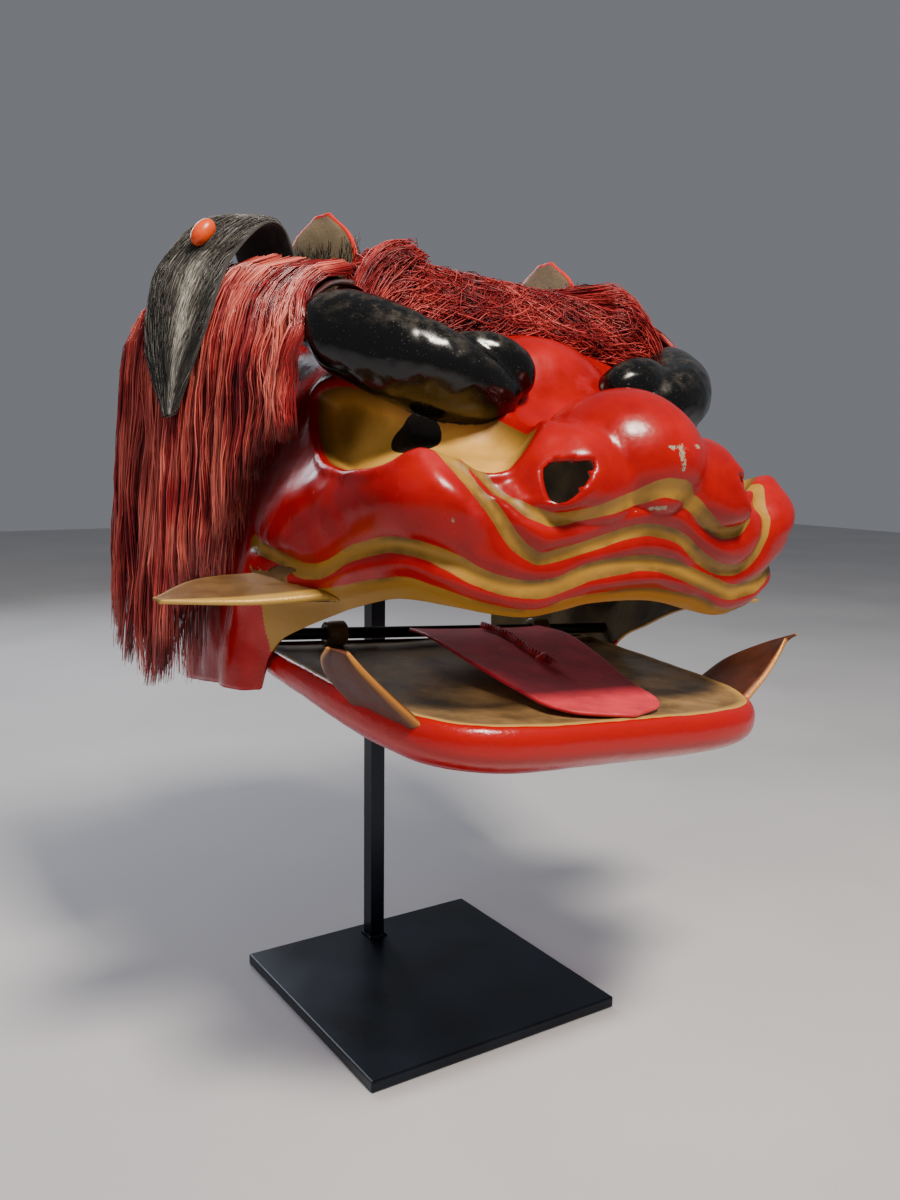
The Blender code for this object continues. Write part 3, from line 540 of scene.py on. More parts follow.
@dataclass(frozen=True)
class RedLacquer:
    """Glossy red lacquer over papier-mache, modelled by hand, with gold size in the grooves and the eyes.

    It gives the eye long wet highlights that wander over an uneven skin, pink scuffs where the top coat
    is worn, and chips down to the grey-beige ground.
    """

    coat: str = "#ae0002"
    deep: str = "#920003"
    worn: str = "#c43038"
    ground: str = "#a89a80"
    soot: str = "#4a3b30"
    gold: str = "#a87c2c"
    gold_dark: str = "#6c4e1c"
    gold_light: str = "#d3a04a"
    pupil: str = "#161412"

    def make(self) -> bpy.types.Material:
        """Builds the outer skin's material.

        Returns:
            The material.
        """
        m = Recipe("red_lacquer_on_papier_mache")
        wobble = m.add("TexNoise", {"Vector": m.place, "Scale": per_mm(14), "Detail": 2.0})
        brush = m.add("TexNoise", {"Vector": m.place, "Scale": per_mm(2.2), "Detail": 3.0})
        patch = m.add("TexNoise", {"Vector": m.place, "Scale": per_mm(45), "Detail": 4.0, "Roughness": 0.6})
        tone = m.add("MapRange", {"Value": patch, 1: 0.35, 2: 0.65})
        coat = m.add("Mix", {0: tone, 6: self.deep, 7: self.coat}, 2, data_type="RGBA")
        worn = m.add("Attribute", {}, 2, attribute_name="worn")
        scuffs = m.add("TexNoise", {"Vector": m.place, "Scale": per_mm(16), "Detail": 7.0, "Roughness": 0.6})
        streak = m.add("MapRange", {"Value": scuffs, 1: 0.45, 2: 0.75})
        rub = m.add("Math", {0: worn, 1: streak}, operation="MULTIPLY")
        rub = m.add("Math", {0: rub, 1: 0.6}, operation="MULTIPLY", use_clamp=True)
        coat = m.add("Mix", {0: rub, 6: coat, 7: self.worn}, 2, data_type="RGBA")
        tarnish = m.add("MapRange", {"Value": patch, 1: 0.40, 2: 0.60})
        gold = m.add("Mix", {0: tarnish, 6: self.gold_dark, 7: self.gold}, 2, data_type="RGBA")
        groove = m.add("Attribute", {}, 2, attribute_name="groove")
        middle = m.add("MapRange", {"Value": groove, 1: -1.0, 2: -4.5})
        gold = m.add("Mix", {0: middle, 6: gold, 7: self.gold}, 2, data_type="RGBA")
        shift = m.add("Math", {0: wobble, 1: 0.5}, operation="SUBTRACT")
        edge = m.add("Math", {0: shift, 1: 1.4, 2: groove}, operation="MULTIPLY_ADD")
        trim = m.add("MapRange", {"Value": edge, 1: 0.15, 2: -0.15})
        eye = m.add("Attribute", {}, 2, attribute_name="eye")
        eye_edge = m.add("MapRange", {"Value": eye, 1: -0.2, 2: 0.2})
        glow = m.add("MapRange", {"Value": patch, 1: 0.3, 2: 0.6})
        eye_gold = m.add("Mix", {0: glow, 6: self.gold, 7: self.gold_light}, 2, data_type="RGBA")
        # Painted shade: the eye's gold turns to gold_dark within 5 mm of its rim, on the wall of the hollow.
        near_rim = m.add("MapRange", {"Value": eye, 1: 0.5, 2: 5.0})
        eye_gold = m.add("Mix", {0: near_rim, 6: self.gold_dark, 7: eye_gold}, 2, data_type="RGBA")
        pupil = m.add("Attribute", {}, 2, attribute_name="pupil")
        dark = m.add("MapRange", {"Value": pupil, 1: -0.2, 2: 0.2})
        scuff = m.add("MapRange", {"Value": brush, 1: 0.62, 2: 0.8, 4: 0.35})
        black = m.add("Mix", {0: scuff, 6: self.pupil, 7: "#6a655c"}, 2, data_type="RGBA")
        colour = m.add("Mix", {0: trim, 6: coat, 7: gold}, 2, data_type="RGBA")
        colour = m.add("Mix", {0: eye_edge, 6: colour, 7: eye_gold}, 2, data_type="RGBA")
        colour = m.add("Mix", {0: dark, 6: colour, 7: black}, 2, data_type="RGBA")
        chip = m.add("Attribute", {}, 2, attribute_name="chip")
        ragged = m.add("TexNoise", {"Vector": m.place, "Scale": per_mm(2.6), "Detail": 5.0, "Roughness": 0.7})
        ragged = m.add("Math", {0: ragged, 1: 5.0, 2: chip}, operation="MULTIPLY_ADD")
        bare = m.add("MapRange", {"Value": ragged, 1: 2.3, 2: 2.7})
        pits = m.add("TexVoronoi", {"Vector": m.place, "Scale": per_mm(1.1)})
        pits = m.add("MapRange", {"Value": pits, 1: 0.1, 2: 0.5})
        crumb = m.add("Mix", {0: pits, 6: self.soot, 7: self.ground}, 2, data_type="RGBA")
        colour = m.add("Mix", {0: bare, 6: colour, 7: crumb}, 2, data_type="RGBA")
        metal = m.add("Math", {0: trim, 1: eye_edge}, operation="MAXIMUM")
        dull = m.add("Math", {0: metal, 1: bare}, operation="MAXIMUM")
        dull = m.add("Math", {0: dull, 1: dark}, operation="MAXIMUM")
        rough = m.add("MapRange", {"Value": patch, 1: 0.3, 2: 0.7, 3: 0.20, 4: 0.33})
        rough = m.add("Math", {0: rub, 1: 0.25, 2: rough}, operation="MULTIPLY_ADD")
        rough = m.add("Mix", {0: dull, 2: rough, 3: 0.46})
        fine = m.add("Math", {0: brush, 1: 0.10, 2: wobble}, operation="MULTIPLY_ADD")
        sunk = m.add("Math", {0: bare, 1: -0.5, 2: fine}, operation="MULTIPLY_ADD")
        crumbs = m.add("Math", {0: bare, 1: pits}, operation="MULTIPLY")
        sunk = m.add("Math", {0: crumbs, 1: 0.5, 2: sunk}, operation="MULTIPLY_ADD")
        normal = m.add("Bump", {"Height": sunk, "Distance": 0.9 * MM, "Strength": 0.6})
        return m.dress(Base_Color=colour, Roughness=rough, Normal=normal, Specular_IOR_Level=0.36)


@dataclass(frozen=True)
class BarePaper:
    """Unpainted papier-mache inside the head: olive-brown, matt, with the ridges of its pasted strips."""

    sheet: str = "#6d5c3a"
    stain: str = "#3d3220"

    def make(self) -> bpy.types.Material:
        """Builds the inner wall's material.

        Returns:
            The material.
        """
        m = Recipe("bare_papier_mache")
        patch = m.add("TexNoise", {"Vector": m.place, "Scale": per_mm(30), "Detail": 5.0})
        stain = m.add("MapRange", {"Value": patch, 1: 0.35, 2: 0.65})
        colour = m.add("Mix", {0: stain, 6: self.stain, 7: self.sheet}, 2, data_type="RGBA")
        strips = m.add("TexVoronoi", {"Vector": m.place, "Scale": per_mm(22)}, feature="F1")
        fibre = m.add("TexNoise", {"Vector": m.place, "Scale": per_mm(1.5), "Detail": 3.0})
        height = m.add("Math", {0: fibre, 1: 0.5, 2: strips}, operation="MULTIPLY_ADD")
        normal = m.add("Bump", {"Height": height, "Distance": 0.8 * MM, "Strength": 0.5})
        return m.dress(Base_Color=colour, Roughness=0.88, Normal=normal)


@dataclass(frozen=True)
class BlackLacquer:
    """Thick black lacquer, wet in its hollows and rubbed grey with dust where it faces up."""

    coat: str = "#070707"
    dust: str = "#5b5346"

    def make(self) -> bpy.types.Material:
        """Builds the brows' material.

        Returns:
            The material.
        """
        m = Recipe("black_lacquer")
        wobble = m.add("TexNoise", {"Vector": m.place, "Scale": per_mm(11), "Detail": 2.0})
        rub = m.add("TexNoise", {"Vector": m.place, "Scale": per_mm(9), "Detail": 6.0, "Roughness": 0.65})
        up = m.add("SeparateXYZ", {0: m.add("NewGeometry", {}, 1)}, 2)
        facing = m.add("MapRange", {"Value": up, 1: 0.25, 2: 0.95})
        scuffs = m.add("MapRange", {"Value": rub, 1: 0.46, 2: 0.72})
        dusty = m.add("Math", {0: facing, 1: scuffs}, operation="MULTIPLY")
        specks = m.add("TexNoise", {"Vector": m.place, "Scale": per_mm(1.2), "Detail": 1.0})
        specks = m.add("MapRange", {"Value": specks, 1: 0.68, 2: 0.74, 4: 0.5})
        dusty = m.add("Math", {0: dusty, 1: specks}, operation="ADD", use_clamp=True)
        dusty = m.add("Math", {0: dusty, 1: 0.55}, operation="MULTIPLY")
        colour = m.add("Mix", {0: dusty, 6: self.coat, 7: self.dust}, 2, data_type="RGBA")
        rough = m.add("MapRange", {"Value": dusty, 1: 0.0, 2: 0.5, 3: 0.17, 4: 0.6})
        height = m.add("Math", {0: rub, 1: 0.15, 2: wobble}, operation="MULTIPLY_ADD")
        normal = m.add("Bump", {"Height": height, "Distance": 0.8 * MM, "Strength": 0.4})
        return m.dress(Base_Color=colour, Roughness=rough, Normal=normal)


@dataclass(frozen=True)
class OldGilt:
    """Bronze-powder paint on wood, gone brown, with red showing in chips and a painted highlight along the
    edges.
    """

    name: str = "old_gilt_on_wood"
    body: str = "#7c5d33"
    bright: str = "#c9a04c"
    dark: str = "#4a3018"
    chip: str = "#9a2a18"

    def make(self) -> bpy.types.Material:
        """Builds the gilt that the fangs wear; the field edge is 1 along bright edges.

        Returns:
            The material.
        """
        m = Recipe(self.name)
        patch = m.add("TexNoise", {"Vector": m.place, "Scale": per_mm(16), "Detail": 5.0, "Roughness": 0.6})
        tone = m.add("MapRange", {"Value": patch, 1: 0.35, 2: 0.65})
        colour = m.add("Mix", {0: tone, 6: self.dark, 7: self.body}, 2, data_type="RGBA")
        colour = m.add("Mix", {0: 0.55, 6: colour, 7: self.body}, 2, data_type="RGBA")
        # Painted highlight: where the field edge is high the gilt turns to its bright colour, for edges that
        # catch the light.
        edge = m.add("Attribute", {}, 2, attribute_name="edge")
        edge = m.add("Math", {0: edge, 1: 0.9}, operation="MULTIPLY")
        colour = m.add("Mix", {0: edge, 6: colour, 7: self.bright}, 2, data_type="RGBA")
        flake = m.add("TexNoise", {"Vector": m.place, "Scale": per_mm(3), "Detail": 4.0, "Roughness": 0.7})
        flakes = m.add("MapRange", {"Value": flake, 1: 0.66, 2: 0.70, 4: 0.7})
        colour = m.add("Mix", {0: flakes, 6: colour, 7: self.chip}, 2, data_type="RGBA")
        fine = m.add("TexNoise", {"Vector": m.place, "Scale": per_mm(1.2), "Detail": 3.0})
        height = m.add("Math", {0: patch, 1: 2.0, 2: fine}, operation="MULTIPLY_ADD")
        normal = m.add("Bump", {"Height": height, "Distance": 0.5 * MM, "Strength": 0.5})
        rough = m.add("MapRange", {"Value": patch, 1: 0.3, 2: 0.7, 3: 0.34, 4: 0.55})
        return m.dress(Base_Color=colour, Roughness=rough, Normal=normal, Metallic=0.25)


@dataclass(frozen=True)
class Hair:
    """Dyed horse-tail hair: coarse, smooth and shiny strands, paler where light catches a lock."""

    name: str = "dyed_horsehair"
    # The colour ramp follows the field shade, not the place along a strand: root is a painted shade for
    # strands that lie deep, tip a painted highlight for strands that lie out.
    root: str = "#3a0a10"
    middle: str = "#a51c22"
    tip: str = "#ea7a68"
    rough: float = 0.32
    gloss: float = 0.85

    def make(self) -> bpy.types.Material:
        """Builds the strands' material; the field shade runs from 0 to 1.

        Returns:
            The material.
        """
        m = Recipe(self.name)
        shade = m.add("Attribute", {}, 2, attribute_name="shade")
        lock = m.add("TexNoise", {"Vector": m.place, "Scale": per_mm(38), "Detail": 3.0})
        lock = m.add("MapRange", {"Value": lock, 1: 0.35, 2: 0.65})
        mixed = m.add("Math", {0: lock, 1: 0.45, 2: shade}, operation="MULTIPLY_ADD")
        low = m.add("MapRange", {"Value": mixed, 1: 0.1, 2: 0.75})
        high = m.add("MapRange", {"Value": mixed, 1: 0.62, 2: 1.15})
        colour = m.add("Mix", {0: low, 6: self.root, 7: self.middle}, 2, data_type="RGBA")
        colour = m.add("Mix", {0: high, 6: colour, 7: self.tip}, 2, data_type="RGBA")
        return m.dress(Base_Color=colour, Roughness=self.rough, Specular_IOR_Level=self.gloss)


@dataclass(frozen=True)
class Plain:
    """A simple solid surface with a little tone, tooth and sheen of its own."""

    name: str
    light: str
    dark: str
    patch: float  # mm
    tooth: float  # mm
    depth: float  # mm
    rough: float
    metal: float = 0.0
    sheen: float = 0.0

    def make(self) -> bpy.types.Material:
        """Builds the material.

        Returns:
            The material.
        """
        m = Recipe(self.name)
        patch = m.add("TexNoise", {"Vector": m.place, "Scale": per_mm(self.patch), "Detail": 5.0})
        tone = m.add("MapRange", {"Value": patch, 1: 0.35, 2: 0.65})
        colour = m.add("Mix", {0: tone, 6: self.dark, 7: self.light}, 2, data_type="RGBA")
        tooth = m.add("TexNoise", {"Vector": m.place, "Scale": per_mm(self.tooth), "Detail": 3.0})
        normal = m.add("Bump", {"Height": tooth, "Distance": self.depth * MM, "Strength": 0.6})
        smooth, coarse = self.rough - 0.06, self.rough + 0.08
        rough = m.add("MapRange", {"Value": patch, 1: 0.3, 2: 0.7, 3: smooth, 4: coarse})
        return m.dress(
            Base_Color=colour, Roughness=rough, Normal=normal, Metallic=self.metal, Sheen_Weight=self.sheen
        )


@dataclass(frozen=True)
class TwoTone:
    """A surface painted in two finishes, parted along the field split, whose 0 is the line between."""

    name: str
    inner: str
    outer: str
    rim: str
    rim_width: float  # mm
    rough_inner: float
    rough_outer: float

    def make(self) -> bpy.types.Material:
        """Builds the material.

        Returns:
            The material.
        """
        m = Recipe(self.name)
        split = m.add("Attribute", {}, 2, attribute_name="split")
        wobble = m.add("TexNoise", {"Vector": m.place, "Scale": per_mm(9), "Detail": 3.0})
        line = m.add("Math", {0: wobble, 1: 1.6, 2: split}, operation="MULTIPLY_ADD")
        part = m.add("MapRange", {"Value": line, 1: 0.65, 2: 0.95})
        patch = m.add("TexNoise", {"Vector": m.place, "Scale": per_mm(28), "Detail": 6.0, "Roughness": 0.62})
        dirt = m.add("MapRange", {"Value": patch, 1: 0.35, 2: 0.7})
        worn = m.add("Mix", {0: dirt, 6: "#5b4528", 7: self.inner}, 2, data_type="RGBA")
        near = m.add("MapRange", {"Value": split, 1: self.rim_width, 2: 0.5})
        worn = m.add("Mix", {0: near, 6: worn, 7: self.rim}, 2, data_type="RGBA")
        scratch = m.add("TexNoise", {"Vector": m.place, "Scale": per_mm(7), "Detail": 7.0, "Roughness": 0.75,
                                     "Distortion": 1.2})
        marks = m.add("MapRange", {"Value": scratch, 1: 0.63, 2: 0.68, 4: 0.6})
        worn = m.add("Mix", {0: marks, 6: worn, 7: "#b98a6e"}, 2, data_type="RGBA")
        colour = m.add("Mix", {0: part, 6: self.outer, 7: worn}, 2, data_type="RGBA")
        rough = m.add("Mix", {0: part, 2: self.rough_outer, 3: self.rough_inner})
        fine = m.add("TexNoise", {"Vector": m.place, "Scale": per_mm(1.6), "Detail": 3.0})
        height = m.add("Math", {0: wobble, 1: 3.0, 2: fine}, operation="MULTIPLY_ADD")
        normal = m.add("Bump", {"Height": height, "Distance": 0.35 * MM, "Strength": 0.5})
        return m.dress(Base_Color=colour, Roughness=rough, Normal=normal, Coat_Weight=0.1, Coat_Roughness=0.1)


@dataclass
class PaperShell:
    """The hollow lacquered head, with its carved grooves, eyes, nostrils and scars."""

    rows: int = 176
    half_columns: int = 129
    wall: float = 0.003
    groove_depth: float = 0.0042
    groove_half: float = 0.0060
    lip_roll: float = 0.0035
    lip_tuck: float = 0.007
    eye_depth: float = 0.016
    unevenness: float = 0.0011
    crowding: float = 1.25
    band_upper: float = 3.5  # half width of the gold bands under the nose, mm
    band_bottom: float = 4.3  # half width of the long gold band, mm
    lip_end: float = 82.0  # degrees round, where the lip's gilt ends
    bead_height: float = 0.0016  # raised edge round the eyes and nostrils
    bead_place: float = 3.5  # mm outside them
    bead_soft: float = 3.0  # mm

    # foot, knee and apex as shares of length and height, width and squareness, lip to rear arch
    RIBS = (
        (-0.019, 0.060, -0.056, 0.290, -0.520, 0.320, 0.925, 4.5),
        (0.006, 0.056, -0.028, 0.354, -0.547, 0.411, 0.962, 5.0),
        (0.033, 0.053, 0.000, 0.425, -0.558, 0.484, 0.987, 5.0),
        (0.067, 0.049, 0.033, 0.488, -0.556, 0.551, 1.000, 5.0),
        (0.106, 0.046, 0.067, 0.537, -0.506, 0.632, 0.985, 4.0),
        (0.144, 0.039, 0.100, 0.579, -0.361, 0.684, 0.955, 3.5),
        (0.183, 0.032, 0.133, 0.621, -0.300, 0.772, 0.955, 3.1),
        (0.222, 0.025, 0.172, 0.656, -0.222, 0.860, 0.955, 3.2),
        (0.264, 0.018, 0.222, 0.684, -0.083, 0.923, 0.945, 3.2),
        (0.306, 0.011, 0.292, 0.684, 0.111, 0.979, 0.943, 3.1),
        (0.347, 0.004, 0.356, 0.579, 0.278, 0.993, 0.930, 3.0),
        (0.389, 0.000, 0.417, 0.544, 0.422, 0.972, 0.905, 2.6),
    )
    # centre, reach and height as shares, and the power of the fall-off
    ROUND_BUMPS = (
        (0.00, -0.475, 0.650, 0.310, 0.140, 0.165, 0.110, 0.8),
        (0.300, -0.520, 0.600, 0.260, 0.130, 0.115, 0.045, 0.8),
    )
    SOFT_BUMPS = (
        (0.82, -0.440, 0.545, 0.250, 0.170, 0.150, 0.032, 1.5),
        (0.00, -0.265, 0.825, 0.300, 0.120, 0.110, 0.035, 1.5),
        (0.60, -0.530, 0.600, 0.260, 0.150, 0.120, -0.040, 1.5),
    )
    # degrees round, mm above the lowest rim
    GROOVE_TOP = (
        (-33, 174), (-30, 167), (-27, 157), (-24, 146), (-21, 142), (-19, 141), (-14, 146), (-8, 152),
        (-3, 157), (0, 158), (5, 156), (10, 145), (14, 139), (18, 140), (20, 148), (22, 162), (26, 172),
    )
    GROOVE_MIDDLE = (
        (-37, 173), (-34, 166), (-31, 155), (-28, 142), (-25, 128), (-22, 121), (-20, 120), (-15, 125),
        (-9, 132), (-4, 137), (0, 138), (6, 134), (12, 122), (18, 116), (23, 119), (26, 135), (29, 160),
        (33, 172),
    )
    GROOVE_BOTTOM = (
        (-93, 112), (-79, 108), (-71, 104), (-64, 101), (-57, 104), (-51, 114), (-46, 120), (-42, 123),
        (-38, 122), (-34, 117), (-30, 110), (-25, 105), (-21, 104), (-17, 107), (-12, 114), (-6, 118),
        (0, 120), (6, 117), (12, 111), (17, 106), (21, 103), (25, 105), (30, 110), (34, 117), (38, 122),
        (42, 123), (46, 120), (51, 114), (57, 105), (64, 101), (71, 104), (79, 108), (93, 112),
    )
    LIP_EDGE = (
        (0, 107), (5, 106), (10, 104), (15, 101), (20, 95), (25, 95), (29, 98), (35, 104), (40, 108),
        (46, 104), (55, 96), (65, 90), (75, 83), (85, 76), (100, 51),
    )
    RIM_WAVE = (
        (0, 4.0), (8, 2.3), (15, -2.3), (22, -5.1), (27, -4.0), (35, 0.0), (41, 2.9), (50, 0.0),
        (60, -4.0), (70, -4.0), (80, 0.0), (100, 0.0),
    )
    EYE = (
        (78, 206), (77, 197), (75, 187), (71, 177), (66, 169), (59, 163), (52, 160), (47, 159), (43, 161),
        (40, 167), (37, 172), (32, 173), (27, 174), (23, 180), (20, 188), (26, 197), (38, 199), (48, 203),
        (60, 208), (70, 211),
    )
    PUPIL = (94.0, -95.0, 393.5)  # mm
    PUPIL_RADIUS = 15.5  # mm
    NOSTRIL = (0.400, -0.545, 0.567)
    NOSTRIL_TURN = math.radians(36)
    NOSTRIL_TILT = math.radians(8)
    NOSTRIL_EDGE = (
        (-12.5, 7.5), (-9, 9.6), (-2, 10.4), (6, 11.0), (12, 11.4), (13.4, 8.5), (10.5, 2.5), (5.5, -4.5),
        (0, -9.2), (-4.5, -10.6), (-8.6, -8.6), (-11.4, -3), (-12.8, 3),
    )  # mm, across and up, seen from in front of the lion's right nostril
    # chips in the lacquer: both ends in mm (x, y, height above the table) and half width
    CHIPS = (
        ((-7, -212, 396), (18, -208, 398), 1.5),
        ((0, -212, 396), (3, -213, 386), 2.1),
        ((9, -212, 393), (10, -212, 393), 0.3),
        ((29, -204, 391), (30, -204, 391), 0.4),
        ((-9, -203, 363), (-1, -206, 364), 1.4),
        ((-17, -201, 361), (-18, -201, 361), 0.2),
        ((-124, -187, 351), (-125, -187, 351), 0.9),
        ((-122, -186, 345), (-121, -186, 345), 0.1),
        ((-157, -22, 310), (-155, -27, 307), 1.6),
    )

    def rib(self, along: float) -> np.ndarray:
        """Returns one arch of the plain head, evenly spaced from the middle to its left foot.

        Args:
            along: Where it stands, from the lip at 0 to the rear at 1.

        Returns:
            Its points.
        """
        row = evenly(self.RIBS, along)
        foot, knee, apex = (np.array([y_at(row[start]), z_at(row[start + 1])]) for start in (0, 2, 4))
        width, square = row[6], row[7]
        part = np.linspace(0, 1, CURVE_STEPS)[:, None]
        side = (1 - part) ** 2 * foot + 2 * part * (1 - part) * knee + part**2 * apex
        length = np.append(0, np.cumsum(np.linalg.norm(np.diff(side, axis=0), axis=1)))
        turn = np.linspace(0, math.pi / 2, CURVE_STEPS)
        climb = np.cos(turn) ** (2 / square) * length[-1]
        across = width * HALF_WIDTH * np.sin(turn) ** (2 / square)
        ahead, up = (np.interp(climb, length, side[:, axis]) for axis in (0, 1))
        arch = np.stack([across, ahead, up], -1)
        walk = np.append(0, np.cumsum(np.linalg.norm(np.diff(arch, axis=0), axis=1)))
        places = np.linspace(0, walk[-1], self.half_columns)
        return np.stack([np.interp(places, walk, arch[:, axis]) for axis in range(3)], -1)

    def swelling(self, points: np.ndarray, rows: Table) -> np.ndarray:
        """Returns the height of each swelling of the face at each point.

        Args:
            points: The plain head's points.
            rows: One swelling to a row.

        Returns:
            Heights in metres, one layer for each swelling.
        """
        heights = []
        for x, y, z, reach_x, reach_y, reach_z, height, soft in rows:
            reach = (
                ((np.abs(points[..., 0]) - x * HALF_WIDTH) / (reach_x * HALF_WIDTH)) ** 2
                + ((points[..., 1] - y_at(y)) / y_at(reach_y)) ** 2
                + ((points[..., 2] - z_at(z)) / (reach_z * HEAD_HEIGHT)) ** 2
            )
            heights.append(height * HEAD_HEIGHT * np.clip(1 - reach, 0, 1) ** soft)
        return np.stack(heights)

    def chart(self, points: np.ndarray) -> np.ndarray:
        """Returns each point's place on the face: mm round from straight ahead, mm above the lowest rim."""
        degrees = np.degrees(np.arctan2(points[..., 0], -points[..., 1]))
        return np.stack([self.arc(degrees), (points[..., 2] - HEAD_LIFT) / MM], -1)

    def arc(self, degrees: Any) -> Any:
        """Returns how far round the face a number of degrees lies, in mm."""
        return np.radians(degrees) * FACE_RADIUS

    def drawn(self, table: Table, mirrored: bool = False) -> np.ndarray:
        """Returns a table of degrees and heights as a fine line on the chart.

        Args:
            table: Degrees and heights.
            mirrored: Whether the table holds only the left half.

        Returns:
            Points on the chart, in mm.
        """
        table = np.asarray(table, float)
        if mirrored:
            table = np.concatenate([table[:0:-1] * (-1, 1), table])
        line = evenly(table, np.linspace(0, 1, 8 * len(table)))
        return np.stack([self.arc(line[:, 0]), line[:, 1]], -1)

    def paint_fields(self, points: np.ndarray) -> dict[str, np.ndarray]:
        """Measures each point's distance in mm from what is painted or worn on the face.

        Args:
            points: The plain head's points.

        Returns:
            groove below 0 inside a gold band, eye above 0 inside, lip above the lip's lower edge.
        """
        chart = self.chart(points)
        grooves = [line_gap(chart, self.drawn(table)) for table in (self.GROOVE_TOP, self.GROOVE_MIDDLE)]
        bottom = line_gap(chart, self.drawn(self.GROOVE_BOTTOM))
        lip_line = self.drawn(self.LIP_EDGE, mirrored=True)
        lip = line_gap(chart, lip_line) * np.sign(
            chart[..., 1] - np.interp(chart[..., 0], lip_line[:, 0], lip_line[:, 1])
        )
        half = np.stack([np.abs(chart[..., 0]), chart[..., 1]], -1)
        outline = rounded(self.EYE)
        outline[:, 0] = self.arc(outline[:, 0])
        return {
            "upper": np.minimum(*grooves),
            "bottom": bottom,
            "lip": lip,
            "eye": inside_of(half, outline),
        }

    def relief(self, points: np.ndarray, fields: dict[str, np.ndarray]) -> np.ndarray:
        """Returns how far each point of the plain head moves out for the face's forms.

        Args:
            points: The plain head's points.
            fields: What paint_fields() measured there.

        Returns:
            Distances in metres.
        """
        degrees = np.abs(np.degrees(np.arctan2(points[..., 0], -points[..., 1])))
        front = 1 - smooth_step(degrees, 90, 100)
        relief = self.swelling(points, self.ROUND_BUMPS).max(axis=0)
        relief = relief + self.swelling(points, self.SOFT_BUMPS).sum(axis=0)
        for key in ("upper", "bottom"):
            groove = np.exp(-((fields[key] * MM / self.groove_half) ** 2))
            relief = relief - self.groove_depth * groove * front
        above = fields["lip"] * MM
        roll = np.exp(-(((above - self.groove_half) / self.groove_half) ** 2))
        tuck = smooth_step(-above, 0, 2 * self.groove_half)
        tuck = tuck * (1 - smooth_step(degrees, 58, 74))
        relief = relief + self.lip_roll * roll * front - self.lip_tuck * tuck
        relief = relief - self.eye_depth * smooth_step(fields["eye"], -3.0, 8.0)
        bead = np.exp(-(((fields["eye"] + self.bead_place) / self.bead_soft) ** 2))
        relief = relief + self.bead_height * bead
        uneven = grain(points, 0.034) + 0.5 * grain(points, 0.015, 7.0)
        return relief + self.unevenness * uneven * (1 - smooth_step(fields["eye"], -2, 4))

    def nostril_frame(self, side: int) -> tuple[np.ndarray, np.ndarray, np.ndarray, np.ndarray]:
        """Returns a nostril's centre and its directions inward along the face, up and outward.

        Args:
            side: -1 for the right nostril, 1 for the left one.

        Returns:
            The centre and the three directions.
        """
        centre = place(*self.NOSTRIL) * (side, 1, 1)
        out = Vector((0, -1, 0))
        out.rotate(Matrix.Rotation(self.NOSTRIL_TILT, 3, "X"))
        out.rotate(Matrix.Rotation(side * self.NOSTRIL_TURN, 3, "Z"))
        across = Vector((0, 0, 1)).cross(out).normalized() * side
        return centre, -np.array(across), np.array(out.cross(across).normalized()), np.array(out)

    def cut_nostrils(self, points: np.ndarray) -> tuple[np.ndarray, np.ndarray]:
        """Rolls the nostrils' rims and moves the nearest points onto their outlines.

        Args:
            points: The head's skin.

        Returns:
            The moved points, and each point's distance in mm into a nostril.
        """
        inside = np.full(points.shape[:2], -99.0)
        outline = rounded(self.NOSTRIL_EDGE, 72)
        for side in (-1, 1):
            centre, across, up, out = self.nostril_frame(side)
            up = up * np.sign(up[2])
            away = (points - centre) / MM
            local = np.stack([away @ across, away @ up], -1)
            depth = away @ out
            into = np.where(np.abs(depth) < 30, inside_of(local, outline), -99.0)
            bead = np.exp(-(((into + self.bead_place) / self.bead_soft) ** 2))
            points = points + out * (self.bead_height * bead)[..., None]
            near = np.abs(into) < 1.5
            ring = np.concatenate([outline, outline[:1]])
            for row, column in np.argwhere(near):
                spot = local[row, column]
                run = ring[1:] - ring[:-1]
                part = np.clip(((spot - ring[:-1]) * run).sum(1) / (run**2).sum(1), 0, 1)[:, None]
                feet = ring[:-1] + part * run
                foot = feet[np.argmin(np.linalg.norm(feet - spot, axis=1))]
                move = (foot - spot) * MM
                points[row, column] += across * move[0] + up * move[1]
                into[row, column] = 0.0
            inside = np.maximum(inside, into)
        return points, inside

    def build(self) -> bpy.types.Object:
        """Models the head's wall and dresses it.

        Returns:
            The shell, in the stand's frame.
        """
        spread = np.linspace(0, 1, self.rows) ** self.crowding
        left = np.stack([self.rib(along) for along in spread])
        points = np.concatenate([left[:, :0:-1] * (-1, 1, 1), left], axis=1)
        degrees = np.abs(np.degrees(np.arctan2(points[..., 0], -points[..., 1])))
        wave = through([row[0] for row in self.RIM_WAVE], [row[1] for row in self.RIM_WAVE], degrees)
        points[..., 2] += wave * MM * (1 - smooth_step(spread, 0, 0.12))[:, None]
        fields = self.paint_fields(points)
        points = points + grid_normals(points) * self.relief(points, fields)[..., None]
        points, nostril = self.cut_nostrils(points)
        bands = np.minimum(fields["upper"] - self.band_upper, fields["bottom"] - self.band_bottom)
        under = np.where(degrees < self.lip_end, fields["lip"] + 1.0, 50.0)
        halved = np.abs(points / MM) * (1, 0, 0) + points / MM * (0, 1, 1)
        pupil = self.PUPIL_RADIUS - np.linalg.norm(halved - self.PUPIL, axis=-1)
        chips = np.full(points.shape[:2], -99.0)
        for start, end, half in self.CHIPS:
            line = np.array([start, end]) * MM
            chips = np.maximum(chips, half - line_gap(points, line) / MM)
        worn = self.wear(points)
        shell = skin(
            "lion_head",
            points,
            groove=np.minimum(bands, under),
            eye=fields["eye"],
            pupil=np.minimum(pupil, fields["eye"]),
            chip=chips,
            worn=worn,
            hole=nostril,
        )
